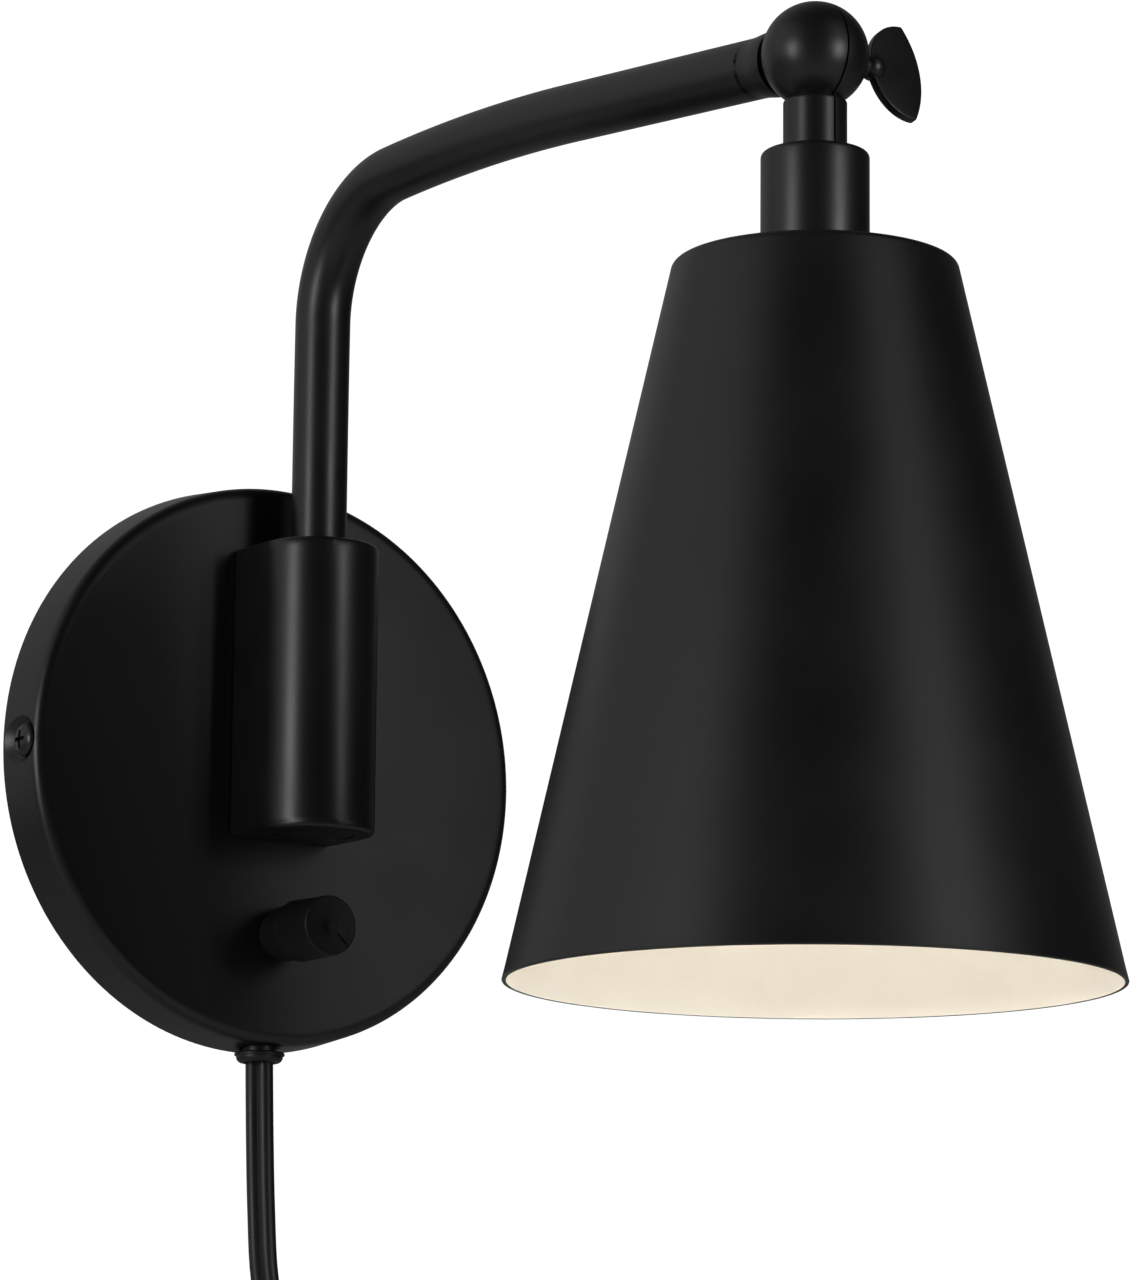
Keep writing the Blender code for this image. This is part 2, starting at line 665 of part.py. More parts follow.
def bar_outline(half_height, length, angle, steps=12):
    """A bar from a round end at the origin, out along an angle from +Y towards +Z."""
    ahead = Vector((math.cos(angle), math.sin(angle)))
    aside = Vector((-ahead.y, ahead.x))
    points = [ahead * length - aside * half_height, ahead * length + aside * half_height]
    for index in range(steps + 1):
        turn = angle + math.pi / 2.0 + math.pi * index / steps
        points.append(Vector((math.cos(turn), math.sin(turn))) * half_height)
    return [tuple(point) for point in points]


def make_hinge_tongue():
    """The flat tongue on the arm that the ball's halves clamp."""
    outline = bar_outline(TONGUE_HALF_HEIGHT, TONGUE_SHANK, -RUN_FALL)
    hole = ring_points(THUMB_SHANK_RADIUS + GAP, 20)
    return plate("hinge_tongue", [outline, hole], TONGUE_THICKNESS, BLACK_SCREW, ball_centre(), RIGHTWARD)


def ball_profile():
    """Half the outline of the ball with its neck, from the top down, then up the neck's bore."""
    groove_angle = math.degrees(math.acos(NECK_GROOVE / BALL_RADIUS))
    points = arc(0.0, 0.0, BALL_RADIUS, 90, -groove_angle, 12)
    points[0] = (0.0, BALL_RADIUS)
    groove = points[-1][1]
    shoulder = groove - NECK_CHAMFER
    bore_top = -(TONGUE_HALF_HEIGHT + 0.0015)
    return points + [
        (NECK_RADIUS, shoulder),
        (NECK_RADIUS, -NECK_LENGTH),
        (NECK_BORE, -NECK_LENGTH),
        (NECK_BORE, bore_top),
        (0.0, bore_top),
    ]


def tongue_fan():
    """The space the tongue sweeps inside the ball between the head's limits."""
    low = -RUN_FALL - TILT_IN - SLOT_MARGIN
    high = -RUN_FALL + TILT_OUT + SLOT_MARGIN
    half = TONGUE_HALF_HEIGHT + RUNNING
    far = 2.0 * BALL_RADIUS
    points = []
    for angle, side in ((low, -1.0), (high, 1.0)):
        ahead = Vector((math.cos(angle), math.sin(angle)))
        aside = Vector((-ahead.y, ahead.x)) * half * side
        pair = [aside, ahead * far + aside]
        points += pair if side < 0 else pair[::-1]
    steps = 12
    start = high + math.pi / 2.0
    sweep = math.pi - (high - low)
    for index in range(1, steps):
        turn = start + sweep * index / steps
        points.append(Vector((math.cos(turn), math.sin(turn))) * half)
    middle = (low + high) / 2.0
    tip = Vector((math.cos(middle), math.sin(middle))) * far * 1.3
    points.insert(2, tip)
    return [tuple(point) for point in points]


def make_ball_halves():
    centre = ball_centre()
    slot = TONGUE_THICKNESS + 2.0 * RUNNING
    fan = plate("tongue_slot", [tongue_fan()], slot, None, centre, RIGHTWARD, home=CUTTERS)
    halves = []
    far = 2.0 * BALL_RADIUS + NECK_LENGTH
    for word, side in (("left", -1.0), ("right", 1.0)):
        half = turned(f"ball_half_{word}", ball_profile(), BLACK_PAINT, centre, sides=32)
        other_side = centre + Vector((side * (SEAM - far) / 2.0, 0, 0))
        waste = block(f"waste_{word}", (far, 2.0 * far, 2.0 * far), other_side, home=CUTTERS)
        cut(half, waste, fan)
        halves.append(half)
    middle = centre + Vector((thumb_tip() + BALL_RADIUS, 0, 0))
    through = drill("thumb_hole", THUMB_SHANK_RADIUS + GAP, 2.0 * BALL_RADIUS, middle, RIGHTWARD)
    for half in halves:
        cut(half, through)
    return halves


def thumb_tip():
    """How far the thumbscrew's hole reaches past the ball's centre, into the left half."""
    return -BALL_RADIUS * 0.65


def make_thumbscrew():
    """Shank, boss and oval paddle in one piece, along the hinge axis."""
    centre = ball_centre()
    tip = thumb_tip() + 2.0 * GAP
    boss = BALL_RADIUS + BOSS_REACH
    neck = math.degrees(math.acos(THUMB_SHANK_RADIUS / BOSS_RADIUS))
    profile = [(0.0, boss + BOSS_RADIUS)]
    profile += arc(0.0, boss, BOSS_RADIUS, 70, -neck, 7)
    profile += [(THUMB_SHANK_RADIUS, tip), (0.0, tip)]
    screw = turned("thumbscrew", profile, BLACK_PAINT, centre, RIGHTWARD, sides=24)
    paddle_centre = centre + Vector((BALL_RADIUS + PADDLE_REACH, 0, 0))
    outline = oval_points(PADDLE_HALF_WIDTH, PADDLE_HALF_LENGTH, 32)
    turn = (math.pi / 2.0 - PADDLE_TURN, 0.0, 0.0)
    paddle = plate("thumb_paddle", [outline], PADDLE_THICKNESS, None, paddle_centre, turn, home=CUTTERS)
    soften(paddle, 0.0005)
    combine(screw, paddle, "UNION")
    return screw


def shade_top():
    return ball_centre().z - CUP_DROP - CUP_HEIGHT


def make_socket_cup():
    """The turned collar that the neck stands in, open at its foot on the shade."""
    top = CUP_HEIGHT
    hole = NECK_RADIUS + GAP
    profile = [(hole, top)] + arc(CUP_RADIUS - CUP_EDGE, top - CUP_EDGE, CUP_EDGE, 90, 0, 4)
    profile += [
        (CUP_RADIUS, GAP),
        (CUP_RADIUS - CUP_WALL, GAP),
        (CUP_RADIUS - CUP_WALL, top - 0.0050),
        (hole, top - 0.0050),
    ]
    centre = ball_centre() - Vector((0, 0, CUP_DROP + CUP_HEIGHT))
    return turned("socket_cup", profile, BLACK_PAINT, centre, sides=32, ring=True)


def make_nipple():
    top = ball_centre().z - NECK_LENGTH + 0.0080
    bottom = shade_top() - 0.0120
    return sleeve("threaded_nipple", NIPPLE_RADIUS, NIPPLE_BORE, bottom, top, ZINC, head_axis(), sides=24)


def head_axis():
    centre = ball_centre()
    return (0.0, centre.y, 0.0)


def make_shade():
    top = shade_top()
    slope = math.atan2(SHADE_RIM_RADIUS - SHADE_TOP_RADIUS, SHADE_HEIGHT)

    def skin(inset):
        corner = SHADE_EDGE - inset
        centre_r = SHADE_TOP_RADIUS - SHADE_EDGE * (1.0 - math.sin(slope)) / math.cos(slope)
        turn = arc(centre_r, top - SHADE_EDGE, corner, 90, math.degrees(slope), 4)
        rim = (SHADE_RIM_RADIUS - inset / math.cos(slope), top - SHADE_HEIGHT)
        return [(NIPPLE_RADIUS + GAP, top - inset)] + turn + [rim]

    profile = skin(0.0) + skin(SHADE_WALL)[::-1]
    return turned("shade", profile, BLACK_PAINT, head_axis(), sides=56, ring=True)


def make_lampholder():
    """Washer and nut under the shade, then the lampholder's cap, body, screw shell and centre contact."""
    axis = head_axis()
    under = shade_top() - SHADE_WALL - GAP
    washer = sleeve("shade_washer", 0.0095, NIPPLE_RADIUS + GAP, under - 0.0010, under, ZINC, axis, sides=28)
    nut_top = under - 0.0010 - GAP
    nut_height = 0.0035
    hole = ring_points(NIPPLE_RADIUS + GAP, 24)
    place = (0, axis[1], nut_top - nut_height / 2.0)
    nut = plate("shade_nut", [ring_points(0.0078, 6), hole], nut_height, ZINC, place)
    cap_top = nut_top - nut_height - GAP
    cap_bottom = cap_top - HOLDER_CAP_HEIGHT
    cap_profile = [(NIPPLE_RADIUS + GAP, cap_top), (HOLDER_RADIUS * 0.62, cap_top)]
    cap_profile += arc(HOLDER_RADIUS - 0.0050, cap_top - 0.0050, 0.0050, 75, 0, 4)
    cap_profile += [
        (HOLDER_RADIUS, cap_bottom),
        (HOLDER_RADIUS - HOLDER_WALL, cap_bottom),
        (HOLDER_RADIUS - HOLDER_WALL, cap_top - 0.0065),
        (NIPPLE_RADIUS + GAP, cap_top - 0.0065),
    ]
    cap = turned("lampholder_cap", cap_profile, PHENOLIC, axis, sides=28, ring=True)
    body_top = cap_bottom - GAP
    body_bottom = body_top - HOLDER_HEIGHT
    shell_bore = SHELL_RADIUS + GAP
    floor = body_top - 0.0080
    body_profile = [
        (STUD_BORE, body_top),
        (HOLDER_RADIUS, body_top),
        (HOLDER_RADIUS, body_bottom + 0.0008),
        (HOLDER_RADIUS - 0.0008, body_bottom),
        (shell_bore, body_bottom),
        (shell_bore, floor),
        (STUD_BORE, floor),
    ]
    body = turned("lampholder_body", body_profile, PHENOLIC, axis, sides=28, ring=True)
    contact_top = floor - GAP
    contact_profile = [
        (0.0, contact_top),
        (0.0055, contact_top),
        (0.0055, contact_top - 0.0008),
        (0.0022, contact_top - 0.0022),
        (0.0, contact_top - 0.0022),
    ]
    contact = turned("centre_contact", contact_profile, BRASS, axis, sides=20)
    shell = turned("screw_shell", shell_profile(contact_top), BRASS, axis, sides=24, ring=True)
    return washer, nut, cap, body, contact, shell


def shell_profile(top):
    """A rolled thread: the wall steps in and out by the thread's depth at the thread's pitch."""
    steps = 2 * int(SHELL_HEIGHT / THREAD_PITCH)
    outer = []
    for index in range(steps + 1):
        depth = SHELL_HEIGHT * index / steps
        valley = THREAD_DEPTH * (index % 2)
        outer.append((SHELL_RADIUS - valley, top - depth))
    inner = [(radius - SHELL_WALL, height) for radius, height in outer]
    return outer + inner[::-1]


def make_dimmer():
    """Dimmer box behind the canopy's face with its bush through it, its nut, its shaft and the knob."""
    face = -CANOPY_DEPTH
    inside = face + CANOPY_WALL + GAP
    depth = CANOPY_DEPTH - CANOPY_WALL - GAP - STRAP_THICKNESS
    box_centre = (0.0, inside + depth / 2.0, KNOB_HEIGHT)
    box = block("dimmer", (DIMMER_BOX[0], depth, DIMMER_BOX[1]), box_centre, BLACK_PLASTIC)
    soften(box, 0.0008, 1)
    knob_back = -KNOB_FACE + KNOB_LENGTH
    bush_front = knob_back + 2.0 * GAP
    bush_length = inside - bush_front + 0.0010
    bush_centre = (0.0, (inside + 0.0010 + bush_front) / 2.0, KNOB_HEIGHT)
    bush = drill("dimmer_bush", dimmer_bush_radius(), bush_length, bush_centre, FORWARD, sides=24)
    combine(box, bush, "UNION")
    bore_centre = (0.0, bush_front, KNOB_HEIGHT)
    bore_length = 2.0 * (bush_length + depth / 3.0)
    cut(box, drill("dimmer_bore", SHAFT_RADIUS + RUNNING, bore_length, bore_centre, FORWARD, sides=24))
    nut_top = -bush_front - 2.0 * GAP
    nut_bottom = CANOPY_DEPTH + GAP
    step = nut_top - COLLAR_LENGTH
    hole = dimmer_bush_radius() + GAP
    nut_profile = [
        (hole, nut_top),
        (COLLAR_RADIUS, nut_top),
        (COLLAR_RADIUS, step),
        (COLLAR_NECK, step),
        (COLLAR_NECK, nut_bottom),
        (hole, nut_bottom),
    ]
    turned("dimmer_nut", nut_profile, BLACK_PLASTIC, (0, 0, KNOB_HEIGHT), FORWARD, sides=28, ring=True)
    shaft_rear = -bush_front - bush_length - depth / 3.0 + 2.0 * GAP
    shaft_front = KNOB_FACE - 0.0040
    shaft_profile = [(0.0, shaft_front), (SHAFT_RADIUS, shaft_front), (SHAFT_RADIUS, shaft_rear), (0.0, shaft_rear)]
    shaft = turned("dimmer_shaft", shaft_profile, ZINC, (0, 0, KNOB_HEIGHT), FORWARD, sides=20)
    return shaft, make_knob()


def make_knob():
    front = KNOB_FACE
    back = KNOB_FACE - KNOB_LENGTH
    hole = SHAFT_RADIUS + GAP
    profile = [
        (0.0, front - 0.0006),
        (0.0008, front - 0.0006),
        (0.0012, front),
        (KNOB_RADIUS - KNOB_CHAMFER, front),
        (KNOB_RADIUS, front - KNOB_CHAMFER),
        (KNOB_RADIUS + KNOB_TAPER, back),
        (hole, back),
        (hole, front - 0.0040 + GAP),
        (0.0, front - 0.0040 + GAP),
    ]
    knob = turned("knob", profile, BLACK_PLASTIC, (0, 0, KNOB_HEIGHT), FORWARD, sides=32)
    out = KNOB_RADIUS * 0.78
    place = (out * math.cos(POINTER_ANGLE), -front, KNOB_HEIGHT + out * math.sin(POINTER_ANGLE))
    notch = block("pointer_notch", (KNOB_RADIUS * 0.6, 0.0010, 0.0007), place, home=CUTTERS)
    notch.rotation_euler = (0.0, -POINTER_ANGLE, 0.0)
    cut(knob, notch)
    return knob


def make_grommet():
    """The lipped bush that the cord comes out of, snapped into the canopy's lower wall."""
    wall_outside = -CANOPY_RADIUS - GAP
    wall_inside = -CANOPY_RADIUS + GROMMET_SEAT
    neck = grommet_neck()
    bore = CORD_RADIUS + GAP
    bottom = wall_outside - GROMMET_DROP
    profile = [
        (bore, wall_inside + GROMMET_CATCH),
        (neck + GAP, wall_inside + GROMMET_CATCH),
        (neck + GAP, wall_inside),
        (neck, wall_inside),
        (neck, wall_outside),
        (GROMMET_RADIUS, wall_outside),
        (GROMMET_RADIUS, wall_outside - GROMMET_LIP),
    ]
    profile += arc(neck, bottom + GROMMET_CURVE, GROMMET_CURVE, 0, -90, 4)
    profile += [(bore, bottom)]
    turned("cord_grommet", profile, BLACK_VINYL, (0, GROMMET_Y, 0), sides=20, ring=True)


def smooth_line(route, spacing):
    """Points at an even spacing along a smooth curve through the route's own points."""
    knots = [Vector(point) for point in route]
    padded = [2.0 * knots[0] - knots[1]] + knots + [2.0 * knots[-1] - knots[-2]]
    fine = []
    for a, b, c, d in zip(padded, padded[1:], padded[2:], padded[3:]):
        for index in range(20):
            t = index / 20.0
            bend = 2.0 * b + (c - a) * t + (2.0 * a - 5.0 * b + 4.0 * c - d) * t * t
            fine.append(0.5 * (bend + (3.0 * b - a - 3.0 * c + d) * t * t * t))
    fine.append(knots[-1])
    chosen = [fine[0]]
    for place in fine[1:]:
        if (place - chosen[-1]).length >= spacing:
            chosen.append(place)
    chosen[-1] = fine[-1]
    return chosen


def make_cord():
    """Inner end to the connectors, then out of the grommet, a tied coil, and the tail to the plug."""
    spacing = 5.0 * CORD_RADIUS
    grommet_bottom = -CANOPY_RADIUS - GAP - GROMMET_DROP
    middle = -CANOPY_DEPTH / 2.0
    inner_route = (
        (0.0, GROMMET_Y, grommet_bottom + GAP),
        (0.0, GROMMET_Y, grommet_bottom + 0.0040),
        (0.0, GROMMET_Y, grommet_bottom + 0.0079),
        (-0.0036, middle, -0.0552),
        (-0.0110, middle, -0.0526),
        (-0.0180, middle, -0.0465),
        (-0.0220, middle, -0.0360),
        (-0.0230, middle, -0.0240),
        (-0.0230, middle, -0.0100),
        (-0.0230, middle, 0.0110),
    )
    pipe("inner_cord", smooth_line(inner_route, 1.5 * CORD_RADIUS), CORD_RADIUS - 0.0002, BLACK_VINYL, 2)
    route = list(CORD_ROUTE)
    route[0] = (0.0, GROMMET_Y, grommet_bottom - GAP)
    pipe("power_cord", smooth_line(route, spacing), CORD_RADIUS, BLACK_VINYL, 3)
    half_w = COIL_HALF_WIDTH
    half_d = COIL_HALF_DEPTH
    section = [
        (COIL_MIDDLE - half_w, half_d * 0.5),
        (COIL_MIDDLE - half_w * 0.5, half_d),
        (COIL_MIDDLE + half_w * 0.5, half_d),
        (COIL_MIDDLE + half_w, half_d * 0.5),
        (COIL_MIDDLE + half_w, -half_d * 0.5),
        (COIL_MIDDLE + half_w * 0.5, -half_d),
        (COIL_MIDDLE - half_w * 0.5, -half_d),
        (COIL_MIDDLE - half_w, -half_d * 0.5),
    ]
    turned("cord_coil", section, BLACK_VINYL, COIL_CENTRE, FORWARD, sides=36, ring=True)
    pipe("cord_tail", smooth_line(TAIL_ROUTE, spacing), CORD_RADIUS, BLACK_VINYL, 3)


def make_coil_tie():
    """A wire tie round the coil on its left."""
    inside_w = COIL_HALF_WIDTH + GAP
    inside_d = COIL_HALF_DEPTH + GAP
    band = 0.0012
    corners = 4
    outlines = []
    for extra in (band, 0.0):
        outline = []
        for sign_x, sign_y, start in ((1, 1, 0), (-1, 1, 90), (-1, -1, 180), (1, -1, 270)):
            radius = 0.0015 + extra
            centre_x = sign_x * (inside_w + extra - radius)
            centre_y = sign_y * (inside_d + extra - radius)
            outline += arc(centre_x, centre_y, radius, start, start + 90, corners)
        outlines.append(outline)
    centre = COIL_CENTRE + Vector((-COIL_MIDDLE, 0, 0))
    plate("coil_tie", outlines, 0.0040, BLACK_PLASTIC, centre)


def make_plug():
    """A moulded two-blade plug under the tail, blades down."""
    top = Vector(TAIL_ROUTE[-1]) - Vector((0, 0, GAP))
    collar_length = 0.0070
    collar_profile = [
        (0.0, 0.0),
        (CORD_RADIUS + 0.0008, 0.0),
        (CORD_RADIUS + 0.0030, -collar_length),
        (CORD_RADIUS + 0.0030, -collar_length - 0.0030),
        (0.0, -collar_length - 0.0030),
    ]
    body_centre = top - Vector((0, 0, collar_length + PLUG_LENGTH / 2.0))
    plug = block("plug_body", (PLUG_WIDTH, PLUG_DEPTH, PLUG_LENGTH), body_centre, BLACK_VINYL)
    soften(plug, 0.0030, 3)
    collar = turned("plug_collar", collar_profile, None, top, sides=20, home=CUTTERS)
    combine(plug, collar, "UNION")
    blade_top = body_centre.z - PLUG_LENGTH / 2.0 - GAP
    for word, side in (("left", -1.0), ("right", 1.0)):
        place = (body_centre.x + side * BLADE_SPREAD / 2.0, body_centre.y, blade_top - BLADE_SIZE[2] / 2.0)
        blade = block(f"plug_blade_{word}", BLADE_SIZE, place, NICKEL)
        soften(blade, 0.0003, 1)


def make_connectors():
    """Two twist-on connectors that join the cord to the lamp leads behind the canopy."""
    middle = -CANOPY_DEPTH / 2.0
    profile = [(0.0, 0.0160), (0.0022, 0.0156), (0.0036, 0.0020), (0.0042, 0.0), (0.0, 0.0)]
    for word, x in (("left", -0.0270), ("right", -0.0170)):
        turned(f"wire_connector_{word}", profile, NYLON, (x, middle, 0.0140), sides=16)


def make_leads():
    """The leads' straight lengths: canopy to body, body through the arm, and neck to lampholder."""
    middle = -CANOPY_DEPTH / 2.0
    stud_bottom = BODY_BOTTOM + CAVITY_HEIGHT - STUD_DROP
    entry = (
        (-0.0165, middle, 0.0115),
        (-0.0100, middle, 0.0015),
        (-0.0042, middle + 0.0003, -0.0065),
        (-0.0010, middle - 0.0012, -0.0106),
        (0.0, -CANOPY_DEPTH + CANOPY_WALL + 0.0010, LEAD_HOLE_HEIGHT),
        (0.0, -CANOPY_DEPTH - CANOPY_WALL, LEAD_HOLE_HEIGHT),
        (0.0, SWING_Y + STUD_BORE, LEAD_HOLE_HEIGHT),
    )
    pipe("entry_lead", smooth_line(entry, 0.0020), LEAD_RADIUS, LEAD_SLEEVE, 2)
    line = arm_line()
    stop = back_along_run(TONGUE_SHANK + 0.0030)
    start = Vector((0.0, SWING_Y, stud_bottom + GAP))
    places = [start, Vector((0.0, SWING_Y, LEG_BOTTOM))]
    places += [Vector((0.0, -out, up)) for out, up in line[:-1]] + [stop]
    arm_lead = pipe("arm_lead", places, LEAD_RADIUS, LEAD_SLEEVE, 2)
    top = ball_centre().z - TONGUE_HALF_HEIGHT - 0.0040
    bottom = shade_top() - 0.0105
    lead = [Vector((0.0, ball_centre().y, top)), Vector((0.0, ball_centre().y, bottom))]
    head_lead = pipe("head_lead", lead, LEAD_RADIUS, LEAD_SLEEVE, 2)
    return arm_lead, head_lead


def main():
    make_canopy()
    make_wall_bracket()
    make_side_screws()
    make_pivot_body()
    make_body_screws()
    bearing = make_pivot_bearing()
    tube = make_arm_tube()
    socket = make_arm_socket()
    tongue = make_hinge_tongue()
    halves = make_ball_halves()
    thumbscrew = make_thumbscrew()
    cup = make_socket_cup()
    nipple = make_nipple()
    shade = make_shade()
    holder = make_lampholder()
    shaft, knob = make_dimmer()
    make_grommet()
    make_cord()
    make_coil_tie()
    make_plug()
    make_connectors()
    arm_lead, head_lead = make_leads()

    swing = axis_empty("swing_axis", (0.0, SWING_Y, BODY_TOP))
    hinge = axis_empty("hinge_axis", ball_centre())
    turn_screw = axis_empty("thumbscrew_axis", ball_centre())
    turn_knob = axis_empty("knob_axis", (0.0, -KNOB_FACE, KNOB_HEIGHT))
    carry(swing, *bearing, tube, socket, tongue, arm_lead, hinge)
    carry(hinge, *halves, cup, nipple, shade, *holder, head_lead, turn_screw)
    carry(turn_screw, thumbscrew)
    carry(turn_knob, shaft, knob)


main()
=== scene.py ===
import math

import bpy
from mathutils import Euler, Matrix, Vector


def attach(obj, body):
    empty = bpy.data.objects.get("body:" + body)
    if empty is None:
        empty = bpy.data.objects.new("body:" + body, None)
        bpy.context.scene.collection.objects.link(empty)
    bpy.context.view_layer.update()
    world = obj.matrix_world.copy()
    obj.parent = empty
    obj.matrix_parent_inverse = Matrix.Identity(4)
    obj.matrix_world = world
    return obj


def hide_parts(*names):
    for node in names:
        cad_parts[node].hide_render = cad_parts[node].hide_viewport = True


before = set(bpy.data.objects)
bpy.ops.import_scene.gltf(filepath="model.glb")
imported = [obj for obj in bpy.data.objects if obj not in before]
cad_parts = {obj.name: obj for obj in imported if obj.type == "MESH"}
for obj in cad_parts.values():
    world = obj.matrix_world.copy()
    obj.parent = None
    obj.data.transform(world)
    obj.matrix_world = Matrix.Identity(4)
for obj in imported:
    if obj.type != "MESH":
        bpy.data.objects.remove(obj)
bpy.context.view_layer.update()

# ---------------------------------------------------------------- camera

camera_data = bpy.data.cameras.new("camera")
camera = bpy.data.objects.new("camera", camera_data)
bpy.context.scene.collection.objects.link(camera)
camera_data.lens = 154.51
camera_data.clip_start = 0.05
camera_data.clip_end = 30.0
CAMERA_PLACE = Vector((-0.648849, -1.032141, -0.193798))
CAMERA_TURN = Euler((math.radians(90.0 + 10.451), 0.0, math.radians(-35.514))).to_matrix()
CAMERA_ROLL = Matrix.Rotation(math.radians(0.508), 3, "Z")
camera.matrix_world = Matrix.Translation(CAMERA_PLACE) @ (CAMERA_TURN @ CAMERA_ROLL).to_4x4()
bpy.context.scene.camera = camera
bpy.context.scene.view_settings.view_transform = "Standard"

# ---------------------------------------------------------------- sizes, in metres

CANOPY_RADIUS = 0.0635
CANOPY_DEPTH = 0.0130
SWING_Y = -0.0270
BODY_RADIUS = 0.0134
BODY_TOP = 0.0471
BODY_BOTTOM = -0.0174
TUBE_RADIUS = 0.00615
FALL = math.radians(-4.8)
BALL = Vector((0.0, -0.2052, 0.118216))
BALL_RADIUS = 0.0107
NECK_RADIUS = 0.00635
NECK_BORE = 0.0046
NECK_END = -0.0265
CUP_TOP = BALL.z - 0.0201
SHADE_TOP = CUP_TOP - 0.0226
SHADE_HEIGHT = 0.1424
HOLDER_RADIUS = 0.0175
KNOB_FACE = -0.0347
KNOB_Z = -0.0382
CORD_Y = -0.0065
SCREW_Y = -0.0070
SCREW_FLOOR = 0.06168
CORD_WIDTH = 0.0066
CORD_THICKNESS = 0.0035
COIL_CENTRE = Vector((-0.0240, -0.0160, -0.1720))

UP = (0.0, 0.0, 0.0)
FORWARD = (math.pi / 2, 0.0, 0.0)
RIGHTWARD = (math.pi / 2, 0.0, math.pi / 2)
LEFTWARD = (math.pi / 2, 0.0, -math.pi / 2)


# ---------------------------------------------------------------- tools of the bench

def nothing_selected():
    if bpy.context.object and bpy.context.object.mode != "OBJECT":
        bpy.ops.object.mode_set(mode="OBJECT")
    bpy.ops.object.select_all(action="DESELECT")


def take(piece):
    nothing_selected()
    piece.select_set(True)
    bpy.context.view_layer.objects.active = piece


def place_at(piece, place, turn):
    take(piece)
    piece.location = place
    piece.rotation_euler = turn
    bpy.ops.object.transform_apply(location=True, rotation=True, scale=True)


def arc(centre_r, centre_z, radius, start, end, steps):
    """Points along an arc, its angles in degrees from outwards towards up."""
    angles = [math.radians(start + (end - start) * index / steps) for index in range(steps + 1)]
    return [(centre_r + radius * math.cos(a), centre_z + radius * math.sin(a)) for a in angles]


def turn_on_lathe(name, profile, sides=96, place=(0, 0, 0), turn=UP, ring=False, smooth=35.0):
    """A turned piece: a circle drawn out from ring to ring down its profile, its ends closed."""
    nothing_selected()
    radius, height = profile[0]
    bpy.ops.mesh.primitive_circle_add(vertices=sides, radius=radius, location=(0, 0, 0))
    piece = bpy.context.object
    piece.name = name
    bpy.ops.object.mode_set(mode="EDIT")
    bpy.ops.mesh.select_all(action="SELECT")
    bpy.ops.transform.translate(value=(0, 0, height))
    for next_radius, next_height in profile[1:] + (profile[:1] if ring else []):
        step = {"value": (0, 0, next_height - height)}
        bpy.ops.mesh.extrude_region_move(TRANSFORM_OT_translate=step)
        scale = next_radius / radius
        bpy.ops.transform.resize(value=(scale, scale, 1.0), center_override=(0, 0, 0))
        radius, height = next_radius, next_height
    bpy.ops.mesh.select_all(action="SELECT")
    bpy.ops.mesh.remove_doubles(threshold=0.000002)
    if not ring:
        bpy.ops.mesh.select_all(action="SELECT")
        bpy.ops.mesh.fill_holes(sides=0)
    bpy.ops.mesh.select_all(action="SELECT")
    bpy.ops.mesh.normals_make_consistent(inside=False)
    bpy.ops.object.mode_set(mode="OBJECT")
    place_at(piece, place, turn)
    shade(piece, smooth)
    return piece


def shade(piece, angle):
    take(piece)
    bpy.ops.object.shade_smooth_by_angle(angle=math.radians(angle))


def box(name, size, place=(0, 0, 0), turn=UP):
    nothing_selected()
    bpy.ops.mesh.primitive_cube_add(size=1.0, location=(0, 0, 0))
    piece = bpy.context.object
    piece.name = name
    piece.scale = size
    bpy.ops.object.transform_apply(scale=True)
    place_at(piece, place, turn)
    return piece


def rod(name, radius, length, place=(0, 0, 0), turn=UP, sides=64):
    nothing_selected()
    bpy.ops.mesh.primitive_cylinder_add(vertices=sides, radius=radius, depth=length, location=(0, 0, 0))
    piece = bpy.context.object
    piece.name = name
    place_at(piece, place, turn)
    return piece


def work(piece, other, operation):
    take(piece)
    step = piece.modifiers.new("step", "BOOLEAN")
    step.operation = operation
    step.object = other
    step.solver = "EXACT"
    bpy.ops.object.modifier_apply(modifier="step")
    bpy.data.objects.remove(other, do_unlink=True)


def cut(piece, *cutters):
    for cutter in cutters:
        work(piece, cutter, "DIFFERENCE")


def join_on(piece, *others):
    for other in others:
        work(piece, other, "UNION")


def break_edges(piece, width, segments=3, angle=40.0):
    take(piece)
    bevel = piece.modifiers.new("bevel", "BEVEL")
    bevel.width = width
    bevel.segments = segments
    bevel.limit_method = "ANGLE"
    bevel.angle_limit = math.radians(angle)
    bevel.harden_normals = True
    bevel.use_clamp_overlap = True
    bpy.ops.object.modifier_apply(modifier="bevel")
    shade(piece, 35.0)


# ---------------------------------------------------------------- finishes

def nodes_of(name, colour, roughness, metallic=0.0):
    finish = bpy.data.materials.new(name)
    finish.use_nodes = True
    tree = finish.node_tree
    shader = tree.nodes["Principled BSDF"]
    shader.inputs["Base Color"].default_value = (*colour, 1.0)
    shader.inputs["Roughness"].default_value = roughness
    shader.inputs["Metallic"].default_value = metallic
    place = tree.nodes.new("ShaderNodeTexCoord")
    return finish, tree, shader, place.outputs["Object"]


def noise(tree, place, scale, detail=2.0, stretch=(1.0, 1.0, 1.0)):
    mapping = tree.nodes.new("ShaderNodeMapping")
    mapping.inputs["Scale"].default_value = stretch
    tree.links.new(place, mapping.inputs["Vector"])
    texture = tree.nodes.new("ShaderNodeTexNoise")
    texture.inputs["Scale"].default_value = scale
    texture.inputs["Detail"].default_value = detail
    tree.links.new(mapping.outputs["Vector"], texture.inputs["Vector"])
    return texture.outputs["Fac"]


